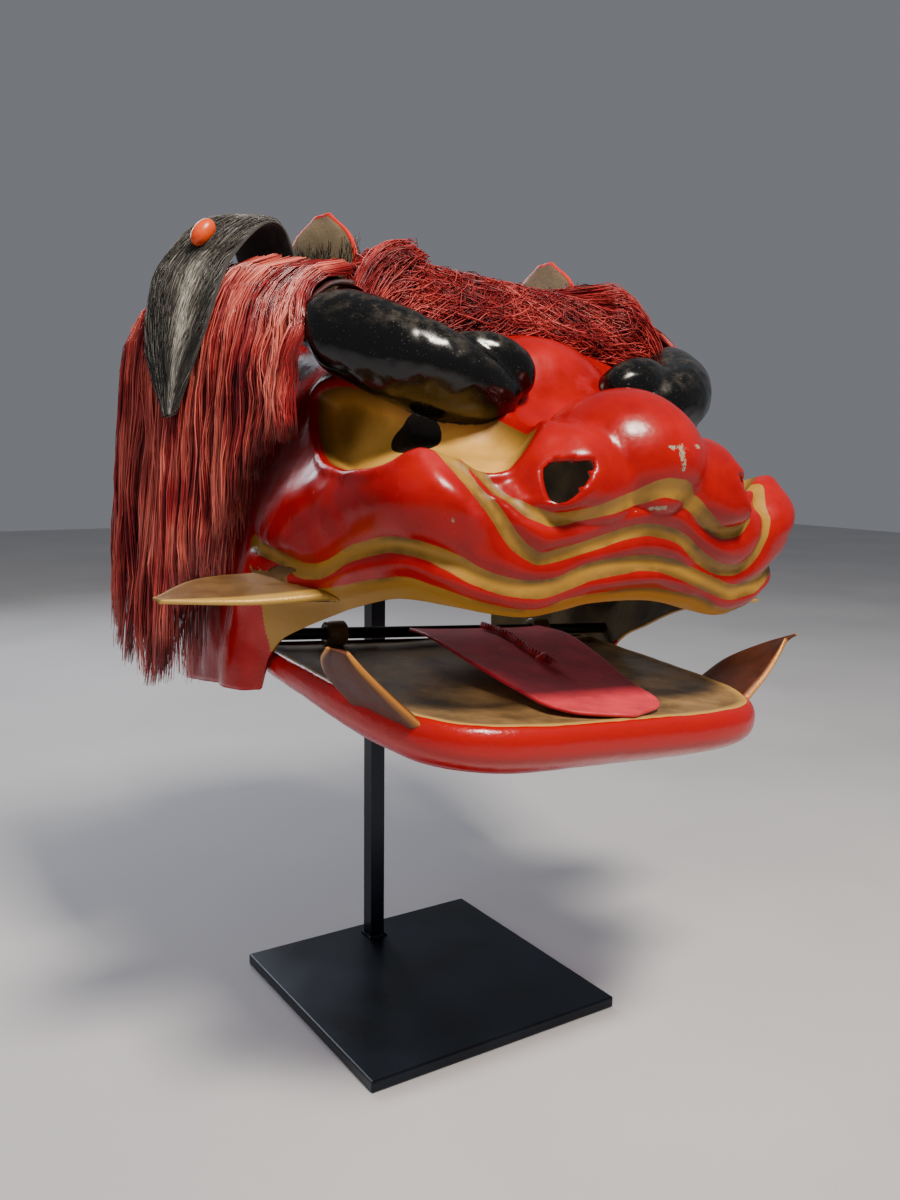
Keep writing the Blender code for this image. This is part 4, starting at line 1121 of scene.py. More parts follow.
        self.open_nostrils(shell)
        self.surface = BVHTree.FromObject(shell, bpy.context.evaluated_depsgraph_get())
        outside = len(shell.data.polygons)
        apply_modifier(shell, "SOLIDIFY", thickness=self.wall, offset=-1.0)
        materials = (RedLacquer().make(), BarePaper().make())
        finish_piece(shell, materials, ("head_shell",))
        faces = np.zeros(len(shell.data.polygons), dtype=np.int32)
        faces[outside : 2 * outside] = 1
        shell.data.polygons.foreach_set("material_index", faces)
        return shell

    def wear(self, points: np.ndarray) -> np.ndarray:
        """Returns how worn the lacquer is, from 0 to 1: round the eyes, on the cheek and on the nose.

        Args:
            points: The head's points.

        Returns:
            One value for each point.
        """
        spots = (((-128, -160, 382), 34, 12), ((-150, -110, 375), 30, 14), ((-112, -196, 362), 12, 16),
                 ((0, -168, 402), 24, 20), ((-50, -205, 352), 40, 5), ((30, -110, 440), 30, 30),
                 ((128, -160, 382), 34, 12), ((-146, -60, 400), 16, 22))
        worn = np.zeros(points.shape[:2])
        for centre, wide, tall in spots:
            away = (points / MM - centre) / (wide, wide, tall)
            worn = np.maximum(worn, 1 - smooth_step(np.linalg.norm(away, axis=-1), 0.35, 1.2))
        return worn

    def open_nostrils(self, shell: bpy.types.Object) -> None:
        """Deletes the faces that lie inside a nostril's outline.

        Args:
            shell: The head's skin, with its field hole.
        """
        pick(shell)
        mesh = bmesh.new()
        mesh.from_mesh(shell.data)
        layer = mesh.verts.layers.float["hole"]
        gone = [face for face in mesh.faces if all(vert[layer] > -0.01 for vert in face.verts)]
        bmesh.ops.delete(mesh, geom=gone, context="FACES")
        mesh.to_mesh(shell.data)
        mesh.free()
        shell.data.attributes.remove(shell.data.attributes["hole"])


@dataclass
class Brow:
    """One brow: a long lobe and a short one, fused and seated on the forehead."""

    side: Side
    ground: BVHTree
    around: int = 44
    steps: int = 64
    voxel: float = 0.0016
    end_size: float = 0.12
    roundness: float = 0.55

    # x, y and z of the spine, then half height and half depth, all as shares, from the outer end in
    LONG = (
        (0.945, -0.125, 0.835, 0.060, 0.055), (0.870, -0.165, 0.845, 0.092, 0.080),
        (0.750, -0.225, 0.815, 0.095, 0.090), (0.600, -0.285, 0.770, 0.085, 0.100),
        (0.420, -0.315, 0.735, 0.075, 0.090), (0.260, -0.320, 0.725, 0.055, 0.070),
    )
    SHORT = (
        (0.560, -0.270, 0.815, 0.030, 0.050), (0.430, -0.290, 0.795, 0.055, 0.075),
        (0.300, -0.302, 0.772, 0.062, 0.080), (0.200, -0.305, 0.745, 0.060, 0.070),
    )
    HEART = (0.0, -0.1, 0.4)

    def lobe(self, rows: Table) -> np.ndarray:
        """Returns loops round one lobe's spine, with round ends.

        Args:
            rows: Sections of the lobe, from its outer end.

        Returns:
            Loops of points.
        """
        turn = np.linspace(0, math.pi, self.steps)
        taper = np.clip(np.sin(turn), self.end_size, 1) ** self.roundness
        taper[0] = taper[-1] = 0.0
        read = evenly(rows, (1 - np.cos(turn)) / 2)
        spine = np.stack([place(*row[:3]) for row in read])
        run = unit(np.gradient(spine, axis=0))
        out = spine - place(*self.HEART)
        out = unit(out - (out * run).sum(axis=1, keepdims=True) * run)
        up = np.cross(run, out)
        angles = np.linspace(0, 2 * math.pi, self.around, endpoint=False)[None, :, None]
        high = (read[:, 3] * HEAD_HEIGHT * taper)[:, None, None]
        deep = (read[:, 4] * HEAD_HEIGHT * taper)[:, None, None]
        rise, away = up[:, None] * high * np.cos(angles), out[:, None] * deep * np.sin(angles)
        return (spine[:, None] + rise + away) * (self.side.value, 1, 1)

    def build(self) -> bpy.types.Object:
        """Models the brow, fuses its lobes, beds it on the forehead and dresses it.

        Returns:
            The brow.
        """
        name = f"brow_{self.side.label}_lacquered"
        shapes = (("long_lobe", self.LONG), ("short_lobe", self.SHORT))
        lobes = [skin(part, self.lobe(rows), wrap=True) for part, rows in shapes]
        brow = join(lobes, name)
        apply_modifier(brow, "REMESH", mode="VOXEL", voxel_size=self.voxel, use_smooth_shade=True)
        apply_modifier(brow, "SMOOTH", factor=0.5, iterations=6)
        rest_on(brow, self.ground, reach=0.06)
        points = points_of(brow)
        dents = grain(points, 0.016, 3.0) + 0.5 * grain(points, 0.007, 9.0)
        normals = np.empty(len(points) * 3)
        brow.data.vertices.foreach_get("normal", normals)
        move_points(brow, points + normals.reshape(-1, 3) * dents[:, None] * 0.0007)
        return finish_piece(brow, (BlackLacquer().make(),), (f"brow_{self.side.label}",))


def leaf(front: Table, rear: Table, thickness: float, side: Side, profile: Table, taper: float,
         steps: int = 60, across: int = 33) -> tuple[np.ndarray, np.ndarray]:
    """Lofts a flat leaf such as a fang or an ear between its two edges.

    Args:
        front: Points of its front edge, from root to tip, as shares.
        rear: Points of its rear edge.
        thickness: Its thickness at the root's thickest place, in metres.
        side: Which side of the head it is on.
        profile: Place across from the front, outer share and inner share of half the thickness.
        taper: Share of the thickness lost towards the tip.
        steps: How many loops it has.
        across: How many points lie from edge to edge.

    Returns:
        The loops, and the distance of each point from the nearer edge in metres.
    """
    along = np.linspace(0, 1, steps)
    edges = [evenly([place(*row) for row in edge], along) for edge in (front, rear)]
    run = np.gradient((edges[0] + edges[1]) / 2, axis=0)
    facing = unit(np.cross(run, edges[1] - edges[0]))
    part = np.linspace(0, 1, across)
    shape = np.asarray(profile, float)
    outer, inner = (through(shape[:, 0], shape[:, column], part)[None, :, None] for column in (1, 2))
    line = edges[0][:, None] + (edges[1] - edges[0])[:, None] * part[None, :, None]
    half = thickness / 2 * (1 - taper * along)[:, None, None] * facing[:, None]
    loops = np.concatenate([line + half * outer, (line - half * inner)[:, ::-1]], axis=1)
    width = np.linalg.norm(edges[1] - edges[0], axis=1)[:, None]
    rim = np.minimum(part, 1 - part)[None] * width
    return loops * (side.value, 1, 1), np.concatenate([rim, rim[:, ::-1]], axis=1)


def close_ends(loops: np.ndarray) -> np.ndarray:
    """Returns loops with one more at each end, drawn in to a line so that the ends are closed.

    Args:
        loops: Loops of a leaf, outer face first.

    Returns:
        The loops with both ends.
    """
    half = loops.shape[1] // 2
    ends = []
    for loop in (loops[0], loops[-1]):
        middle = (loop[:half] + loop[half:][::-1]) / 2
        ends.append(np.concatenate([middle, middle[::-1]]))
    return np.concatenate([ends[0][None], loops, ends[1][None]])


@dataclass
class UpperFang:
    """One upper fang: a flat gilt blade that stands out from the cheek, thick along its front edge."""

    side: Side
    ground: BVHTree
    thickness: float = 0.0075

    FRONT = ((0.88, -0.270, 0.315), (1.20, -0.262, 0.300), (1.49, -0.212, 0.292))
    REAR = ((0.88, -0.030, 0.330), (1.25, -0.085, 0.320), (1.51, -0.200, 0.298))
    PROFILE = (
        (0, 0.35, 0.65), (0.06, 0.75, 0.95), (0.2, 0.80, 0.9), (0.6, 0.5, 0.5), (0.95, 0.2, 0.25),
        (1, 0.08, 0.08),
    )

    def build(self) -> bpy.types.Object:
        """Models the fang and dresses it.

        Returns:
            The fang.
        """
        loops, rim = leaf(self.FRONT, self.REAR, self.thickness, self.side, self.PROFILE, 0.65)
        name = f"upper_fang_{self.side.label}_gilt"
        loops, rim = close_ends(loops), np.concatenate([rim[:1], rim, rim[-1:]])
        # Painted highlight: the front edge and a band round the rims get the gilt's bright colour.
        front = np.zeros(rim.shape)
        front[:, :3] = front[:, -3:] = 1.0
        front[:, 3] = front[:, -4] = 0.6
        bright = np.maximum(front, 0.35 * (1 - smooth_step(rim, 0.0005, 0.004)))
        fang = skin(name, loops, wrap=True, edge=bright)
        rest_on(fang, self.ground)
        return finish_piece(fang, (OldGilt().make(),), (f"upper_fang_{self.side.label}",))


@dataclass
class Jaw:
    """The lower jaw: a shallow lacquered board with a worn gilt floor and two lugs on the hinge rod."""

    width: float = 0.279
    square: float = 5.0
    rear_y: float = 0.014
    rear_thin: float = 0.35
    length: float = 0.213
    depth: float = 0.032
    rim_height: float = 0.245
    rear_rise: float = 0.013
    hinge: tuple[float, float] = (0.008, 0.264)
    rod_radius: float = 0.004
    clearance: float = 0.0005
    lug_wall: float = 0.004
    lug_width: float = 0.014
    lug_place: float = 0.62
    columns: int = 220
    rows: int = 84

    # scale of the outline and drop, from the middle of the top over the rim to the middle underneath
    SECTION = (
        (0.00, 0.05), (0.45, 0.09), (0.80, 0.09), (0.93, 0.05), (0.975, 0.00), (1.00, 0.06), (1.012, 0.30),
        (1.00, 0.62), (0.94, 0.90), (0.86, 1.00), (0.45, 1.00), (0.00, 1.00),
    )
    RIM_PLACE = 0.986
    FLOOR_DROP = 0.12  # sections with less drop than this belong to the floor
    OUTSIDE = -9.0  # the field split on the lacquered outside

    def top(self, y: Any) -> Any:
        """Returns the height of the jaw's rim at a Y."""
        return self.rim_height + self.rear_rise * (y - self.rear_y + self.length) / self.length

    def build(self) -> bpy.types.Object:
        """Models the jaw and dresses it.

        Returns:
            The jaw.
        """
        turn = np.linspace(-math.pi / 2, math.pi / 2, CURVE_STEPS * 4 + 1)
        across = np.sign(turn) * np.abs(np.sin(turn)) ** (2 / self.square) * self.width / 2
        ahead = np.abs(np.cos(turn)) ** (2 / self.square) * self.length
        walk = np.append(0, np.cumsum(np.hypot(np.diff(across), np.diff(ahead))))
        places = np.linspace(0, walk[-1], self.columns)
        across, ahead = np.interp(places, walk, across), np.interp(places, walk, ahead)
        section = evenly(self.SECTION[::-1], np.linspace(0, 1, self.rows))
        loops, split = [], []
        for scale, drop in section:
            y = self.rear_y - ahead * scale
            depth = self.depth * (1 - self.rear_thin * (y - self.rear_y + self.length) / self.length)
            loops.append(np.stack([across * scale, y, self.top(y) - drop * depth], -1))
            inward = (self.RIM_PLACE - scale) * self.length / MM
            split.append(np.full(self.columns, inward if drop < self.FLOOR_DROP else self.OUTSIDE))
        loops, split = np.array(loops), np.array(split)
        loops = loops + (0, 0, 1) * (0.0007 * (grain(loops, 0.03) + 0.4 * grain(loops, 0.012)))[..., None]
        board = skin("jaw_board", loops, wrap=True, split=split)
        lugs = [self.lug(side) for side in Side]
        jaw = join([board, *lugs], "jaw_board")
        finish = TwoTone("lacquered_and_gilt_board", "#a07c4c", "#ae0002", "#c39a4e", 7.0, 0.42, 0.24)
        return finish_piece(jaw, (finish.make(),), ("lower_jaw",), JAW_BODY)

    def lug(self, side: Side) -> bpy.types.Object:
        """Models one lug, a ring that turns on the hinge rod.

        Args:
            side: Which end of the rod it turns on.

        Returns:
            The lug.
        """
        inner = self.rod_radius + self.clearance
        outer = inner + self.lug_wall
        half = self.lug_width / 2
        section = ((inner, -half), (outer - 0.001, -half), (outer, -half + 0.001), (outer, half - 0.001),
                   (outer - 0.001, half), (inner, half))
        angles = np.linspace(0, 2 * math.pi, 33)
        middle = side.value * self.lug_place * self.width / 2
        rings = [
            [(middle + x, self.hinge[0] + radius * math.cos(angle), self.hinge[1] + radius * math.sin(angle))
             for radius, x in section]
            for angle in angles
        ]
        rings = np.array(rings)
        # Painted shade: split 30 gives the lugs the floor's worn brown gilt in place of the red lacquer, to
        # tone them down for the shadow under the upper lip.
        return skin(f"lug_{side.label}", rings, wrap=True, split=np.full(rings.shape[:2], 30.0))


@dataclass
class LowerFang:
    """One lower fang: a blade that curves up and out of the jaw's rim."""

    side: Side
    jaw: Jaw
    height: float = 0.034
    flare: float = 0.040
    root: float = 0.004  # how far it reaches down into the rim
    thickness: float = 0.007
    front: float = 0.855  # share of the jaw's length from its rear
    rear: float = 0.590
    inset: tuple[float, float] = (0.890, 0.985)
    lean: tuple[float, float] = (0.13, -0.85)

    RISE = ((0.0, 0.0), (0.40, 0.45), (0.75, 0.80), (1.0, 1.0))
    PROFILE = (
        (0, 0.1, 0.1), (0.04, 0.7, 0.7), (0.2, 0.95, 0.95), (0.7, 0.6, 0.6), (0.96, 0.45, 0.45),
        (1, 0.1, 0.1),
    )

    def build(self) -> bpy.types.Object:
        """Models the fang and dresses it.

        Returns:
            The fang.
        """
        base_y = self.jaw.rear_y - self.jaw.length * np.array([self.front, self.rear])
        base_x = self.jaw.width / 2 * np.array(self.inset)
        edges = []
        for x, y, lean in zip(base_x, base_y, self.lean):
            edge = []
            for up, out in self.RISE:
                move = up**2 * (base_y[1] - base_y[0]) * lean
                z = self.jaw.top(y) - self.root + up * (self.height + self.root)
                point = (x + out * self.flare, y + move, z)
                level = (point[2] - HEAD_LIFT) / HEAD_HEIGHT
                edge.append((point[0] / HALF_WIDTH, point[1] / HEAD_LENGTH, level))
            edges.append(edge)
        loops, rim = leaf(*edges, self.thickness, self.side, self.PROFILE, 0.65)
        loops, rim = close_ends(loops), np.concatenate([rim[:1], rim, rim[-1:]])
        # Painted highlight: a band round the rims gets the gilt's bright colour.
        bright = 0.9 * (1 - smooth_step(rim, 0.0004, 0.0028))
        # Painted shade: the lower fangs wear a darker brown-red copy of the fangs' gilt, standing in for the
        # shadow on their faces.
        look = OldGilt(f"shade_painted_gilt_{self.side.label}", "#5a2c1a", "#d08a38", "#2c120b")
        fang = skin(f"lower_fang_{self.side.label}_gilt", loops, wrap=True, edge=bright)
        return finish_piece(fang, (look.make(),), (f"lower_fang_{self.side.label}",), JAW_BODY)


@dataclass
class Mane:
    """One side fall of hair: a backing and the strands that hang over it."""

    side: Side
    strands: int = 2500
    steps: int = 12
    locks: int = 21
    shoulder: float = 0.070
    depth: float = 0.036
    clear: float = 0.003
    root_drop: float = 0.012
    deep_share: float = 0.35  # strands that fill the fall behind its face
    body_reach: float = 0.80  # how far down its strands the backing goes
    seed: int = 11

    # Y, X of the root, outer X, top and hem as shares, from front to rear
    TABLE = (
        (-0.180, 0.745, 1.035, 0.965, 0.610), (-0.115, 0.745, 1.065, 0.985, 0.550),
        (-0.040, 0.750, 1.100, 1.005, 0.420), (0.040, 0.890, 1.140, 1.015, 0.300),
        (0.115, 0.890, 1.180, 1.020, 0.170), (0.155, 0.890, 1.205, 1.020, 0.050),
        (0.195, 0.900, 1.215, 1.020, 0.000), (0.345, 0.880, 1.250, 1.020, 0.060),
        (0.430, 0.800, 1.225, 0.990, 0.200),
    )
    GATHER = 0.36  # where along the table the front strands are gathered at the crown
    GATHER_SHARE = 0.30

    def surface(self, across: np.ndarray, down: np.ndarray, out: np.ndarray) -> np.ndarray:
        """Returns places on the fall.

        Args:
            across: How far from its front to its rear, 0 to 1.
            down: How far from its root to its hem, 0 to 1.
            out: How far off its outer face, in metres.

        Returns:
            Points on the left side of the head.
        """
        row = evenly(self.TABLE, across)
        root, outer = row[..., 1] * HALF_WIDTH, row[..., 2] * HALF_WIDTH
        top, hem = z_at(row[..., 3]), z_at(row[..., 4])
        z = top + (hem - top) * down
        fall = np.clip((top - z) / self.shoulder, 0, 1)
        turn = np.sqrt(1 - (1 - fall) ** 2)
        x = root + (outer - root) * turn + out * (0.3 + 0.7 * turn)
        return np.stack([x, y_at(row[..., 0]), z + out * (1 - turn) * 0.8], -1)

    def backing(self) -> bpy.types.Object:
        """Models the body of hair under the strands, kept dark as painted shade.

        Returns:
            The backing.
        """
        across = np.linspace(0.08, 0.985, 120)
        row = evenly(self.TABLE, across)
        outer, root = row[:, 2] * HALF_WIDTH, row[:, 1] * HALF_WIDTH
        top, hem = z_at(row[:, 3]), z_at(row[:, 4])
        inner = np.maximum(outer - self.depth, HALF_WIDTH + self.clear)
        loops = []
        for down in np.linspace(0, 1, 60) ** 1.4 * self.body_reach:
            z = top + (hem - top) * down
            fall = np.clip((top - z) / self.shoulder, 0, 1)
            turn = np.sqrt(1 - (1 - fall) ** 2)
            under = np.full_like(across, -0.0055 - 0.004 * (1 - down))
            face = self.surface(across, np.full_like(across, down), under)
            back_z = z - self.root_drop * (1 - turn)
            back = np.stack([root + (inner - root) * turn, y_at(row[:, 0]), back_z], -1)
            back[:, 0] = np.minimum(back[:, 0], face[:, 0] - 0.0005)
            loops.append(np.concatenate([face, back[::-1]]))
        loops = close_ends(np.array(loops)) * (self.side.value, 1, 1)
        body = skin(f"mane_{self.side.label}_body", loops, wrap=True)
        points = points_of(body)
        move_points(body, points + 0.001 * grain(points, 0.008)[:, None] * (self.side.value, 0, 0))
        return body

    def strand_paths(self) -> tuple[np.ndarray, np.ndarray, np.ndarray]:
        """Draws the strands.

        Returns:
            Their paths, half widths and shades.
        """
        rng = np.random.default_rng(self.seed + self.side.value)
        start = rng.uniform(-0.02, 1.01, self.strands)
        lock = np.clip(np.floor(start * self.locks), 0, self.locks)
        lock_middle = (lock + 0.5) / self.locks
        lock_rng = np.random.default_rng(self.seed * 7)
        phase = lock_rng.uniform(0, 2 * math.pi, self.locks + 1)[lock.astype(int)]
        swell = lock_rng.uniform(0.4, 1.0, self.locks + 1)[lock.astype(int)]
        tone = lock_rng.uniform(-0.20, 0.24, self.locks + 1)[lock.astype(int)]
        fringe = lock_rng.uniform(-0.03, 0.07, self.locks + 1)[lock.astype(int)]
        reach = 1.0 - fringe - 0.07 * rng.random(self.strands) ** 2
        short = rng.random(self.strands) < 0.22
        reach[short] *= rng.uniform(0.62, 0.97, short.sum())
        lift = rng.uniform(0, 1, self.strands) ** 1.5
        begin = np.where(rng.random(self.strands) < 0.30, rng.uniform(0.0, 0.35, self.strands), 0.0)
        part = np.linspace(0, 1, self.steps) ** 1.25
        down = begin[:, None] + (reach - begin)[:, None] * part[None]
        spread = smooth_step(down, 0.0, 0.40)
        pull = self.GATHER_SHARE * (1 - smooth_step(start, 0.42, 0.62))[:, None] * (1 - spread)
        across = start[:, None] + (self.GATHER - start)[:, None] * pull
        tuft = 0.55 * smooth_step(down, 0.15, 1.0)
        across = across + (lock_middle - start)[:, None] * tuft
        wave = np.sin(phase[:, None] + down * 13) * 0.0085 * swell[:, None]
        fuzz = rng.normal(0, 0.0022, (self.strands, self.steps)) * part
        across = np.clip(across + wave + fuzz, -0.012, 1.006)
        bulge = np.abs(np.sin((across * self.locks + 0.15 * np.sin(6 * down)) * math.pi)) - 0.5
        out = -0.0032 + 0.0062 * lift[:, None] + 0.0030 * bulge * smooth_step(down, 0.05, 0.4)
        out = out + 0.0008 * np.sin(phase[:, None] * 2 + down * 21) + rng.normal(0, 0.0004, down.shape)
        outer = evenly(self.TABLE, np.clip(start, 0, 1))[:, 2] * HALF_WIDTH
        room = np.clip(outer - HALF_WIDTH - self.clear, 0, self.depth)
        deep = (rng.random(self.strands) < self.deep_share) * rng.random(self.strands) * room
        out = out - deep[:, None] * smooth_step(down, 0.10, 0.35)
        paths = self.surface(across, down, out)
        paths[..., 1] += 0.0016 * np.sin(phase[:, None] * 3 + down * 9)
        radius = rng.uniform(0.00034, 0.00056, self.strands)[:, None] * np.where(part > 0.97, 0.35, 1.0)[None]
        # Painted shade and light: strands that lie further out (more lift) are paler and deeper ones darker;
        # tone and noise add random variation.
        shade = np.clip(0.28 + tone + 0.5 * (lift - 0.4) + rng.normal(0, 0.14, self.strands), 0, 1)
        return paths * (self.side.value, 1, 1), radius, shade

    def build(self, ground: BVHTree) -> None:
        """Models the backing and the strands and dresses both.

        Args:
            ground: The head's skin.
        """
        body = self.backing()
        rest_on(body, ground, 0.0005, 0.02)
        # Painted shade: the backing is near-black maroon, standing in for the shade under the strands.
        under = Plain("horsehair_in_painted_shade", "#4a0d12", "#1d0508", patch=12, tooth=0.8, depth=0.6, rough=0.6)
        finish_piece(body, (under.make(),), (f"mane_{self.side.label}",))
        paths, radius, shade = self.strand_paths()
        hair = strand_mesh(f"mane_{self.side.label}_strands", paths, radius, shade)
        finish_piece(hair, (Hair().make(),))


@dataclass
class Crown:
    """The roll of hair over the crown: a backing, combed and backward strands, and frizz on top."""

    sections: int = 120
    steps: int = 90
    x_share: float = 0.735
    end_drop: float = 0.30
    seat_lowest: float = 0.80
    end_power: int = 10
    ripple_height: float = 0.002
    ripple: int = 9
    twist: float = 2.0
    squeeze_from: float = 0.44
    squeeze_to: float = 0.50
    end_length: float = 0.24
    combed: int = 3300
    backward: int = 1600
    frizz: int = 240
    seed: int = 5

    ROLL = (
        (-0.205, 0.850), (-0.205, 0.905), (-0.165, 0.965), (-0.080, 1.015), (0.030, 1.040), (0.120, 1.045),
        (0.220, 1.050), (0.330, 1.045), (0.405, 1.010), (0.420, 0.930),
    )
    LOWEST = 0.640  # height of the rear edge, as a share of the head

    def spot(self, side: np.ndarray, way: np.ndarray) -> np.ndarray:
        """Returns places on the roll's face.

        Args:
            side: From the right end at -1 to the left end at 1.
            way: From the lower front edge at 0 over the top to the rear edge at 1.

        Returns:
            Points in the head's frame.
        """
        profile = evenly(self.ROLL, np.clip(way, 0, 1))
        front = self.ROLL[0][0]
        low = 1 - self.end_drop * np.abs(side) ** self.end_power
        reach = side * self.x_share
        squeeze = 1 - (1 - self.end_length) * smooth_step(np.abs(reach), self.squeeze_from, self.squeeze_to)
        level = np.sqrt(np.clip(1 - side**2, 0, 1))
        wave = np.sin(self.ripple * math.pi * way + self.twist * reach) * self.ripple_height * level
        y = y_at(front + (profile[..., 0] - front) * squeeze)
        z = z_at(self.LOWEST + (profile[..., 1] - self.LOWEST) * low) + wave
        return np.stack([reach * HALF_WIDTH, y, z], -1)

    def surface(self, across: np.ndarray, along: np.ndarray, out: np.ndarray) -> np.ndarray:
        """Returns places on the roll.

        Args:
            across: From the right end at -1 to the left end at 1.
            along: From the lower front edge at 0 over the top to the rear edge at 1.
            out: How far off the roll's face, in metres.

        Returns:
            Points in the head's frame.
        """
        here = self.spot(across, along)
        step = 0.01
        left, right = (np.clip(across + move, -1, 1) for move in (step, -step))
        after, before = (np.clip(along + move, 0, 1) for move in (step, -step))
        one = self.spot(left, along) - self.spot(right, along)
        two = self.spot(across, after) - self.spot(across, before)
        return here + unit(np.cross(one, two)) * out[..., None]

    def backing(self, ground: BVHTree) -> bpy.types.Object:
        """Models the body of hair under the strands, kept dark as painted shade, bedded on the head's skin.

        Args:
            ground: The head's skin.

        Returns:
            The backing.
        """
        along = np.linspace(0, 1, self.steps)
        loops = []
        for turn in np.linspace(-math.pi / 2, math.pi / 2, self.sections):
            across = np.full(self.steps, math.sin(turn))
            face = self.surface(across, along, np.full(self.steps, -0.003))
            seat = np.linspace(face[-1], face[0], self.steps)
            drape(seat, ground, z_at(self.seat_lowest))
            loops.append(np.concatenate([face, seat]))
        return skin("crown_body", close_ends(np.array(loops)), wrap=True)

    def paths_of(self, flow: Flow, count: int, steps: int) -> tuple[np.ndarray, np.ndarray, np.ndarray]:
        """Draws one kind of strand.

        Args:
            flow: How the strands lie.
            count: How many strands.
            steps: Points along each.

        Returns:
            Their paths, half widths and shades.
        """
        rng = np.random.default_rng(self.seed + list(Flow).index(flow))
        part = np.linspace(0, 1, steps)[None]
        lift = rng.uniform(0, 1, (count, 1)) ** 1.6
        wobble = rng.uniform(0, 2 * math.pi, (count, 1))
        if flow is Flow.COMBED:
            middle = rng.uniform(-0.97, 0.97, (count, 1))
            length = rng.uniform(0.25, 0.75, (count, 1))
            across = middle + (part - 0.5) * length
            way = rng.uniform(0.0, 0.58, (count, 1)) + 0.05 * np.sin(wobble + part * 4)
            way = way - 0.06 * part * np.sign(middle) + 0.008 * np.sin(3 * wobble + part * 8)
            out = -0.003 + 0.006 * lift + 0.0015 * np.sin(wobble + part * 9)
        elif flow is Flow.BACKWARD:
            start = rng.uniform(-0.98, 0.98, (count, 1))
            across = start + 0.02 * np.sin(wobble + part * 6) + 0.10 * np.sign(start) * part**2
            begin = rng.uniform(0.46, 0.80, (count, 1))
            way = begin + part * rng.uniform(0.2, 0.5, (count, 1))
            out = -0.003 + 0.006 * lift + 0.001 * np.sin(wobble + part * 8)
        else:
            across = rng.uniform(-0.9, 0.9, (count, 1)) + 0.05 * np.sin(wobble + part * 7) * part
            way = rng.uniform(0.10, 0.60, (count, 1)) + 0.07 * np.sin(2 * wobble + part * 8) * part
            height = rng.uniform(0.002, 0.007, (count, 1))
            out = -0.002 + height * np.sin(part * 2.6) + 0.001 * np.sin(part * 12)
        across, way = np.clip(across, -0.985, 0.985), np.clip(way, 0.0, 1.0)
        paths = self.surface(across + 0 * way, way + 0 * across, out + 0 * across + 0 * way)
        paths = paths + rng.normal(0, 0.0001, paths.shape)
        fine = 0.8 if flow is Flow.FRIZZ else 1.0
        radius = rng.uniform(0.00032, 0.00054, (count, 1)) * fine * (1 - 0.6 * np.abs(2 * part - 1) ** 6)
        middle_x = 1 - np.abs(across.mean(axis=1))
        # Painted shade and light: strands that lie further out (more lift) are paler and deeper ones darker;
        # the rest varies at random.
        shade = 0.22 + 0.45 * (lift[:, 0] - 0.4) + rng.normal(0, 0.14, count) + 0.12 * np.sin(9 * middle_x)
        return paths, radius, np.clip(shade, 0, 1)

    def build(self, ground: BVHTree) -> None:
        """Models the backing and the strands and dresses them.

        Args:
            ground: The head's skin.
        """
        body = self.backing(ground)
        # Painted shade: the backing is near-black maroon, standing in for the shade under the strands.
        under = Plain(
            "matted_horsehair_crown", "#4a0d12", "#1d0508", patch=12, tooth=0.8, depth=0.6, rough=0.6
        )
        finish_piece(body, (under.make(),), ("crown_hair",))
        look = Hair("dyed_horsehair_crown", "#34080e", "#94181e", "#c94a42", 0.46, 0.45).make()
        for flow, count, steps in ((Flow.COMBED, self.combed, 14), (Flow.BACKWARD, self.backward, 14),
                                   (Flow.FRIZZ, self.frizz, 9)):
            hair = strand_mesh(f"crown_{flow.value}", *self.paths_of(flow, count, steps))
            finish_piece(hair, (look,))


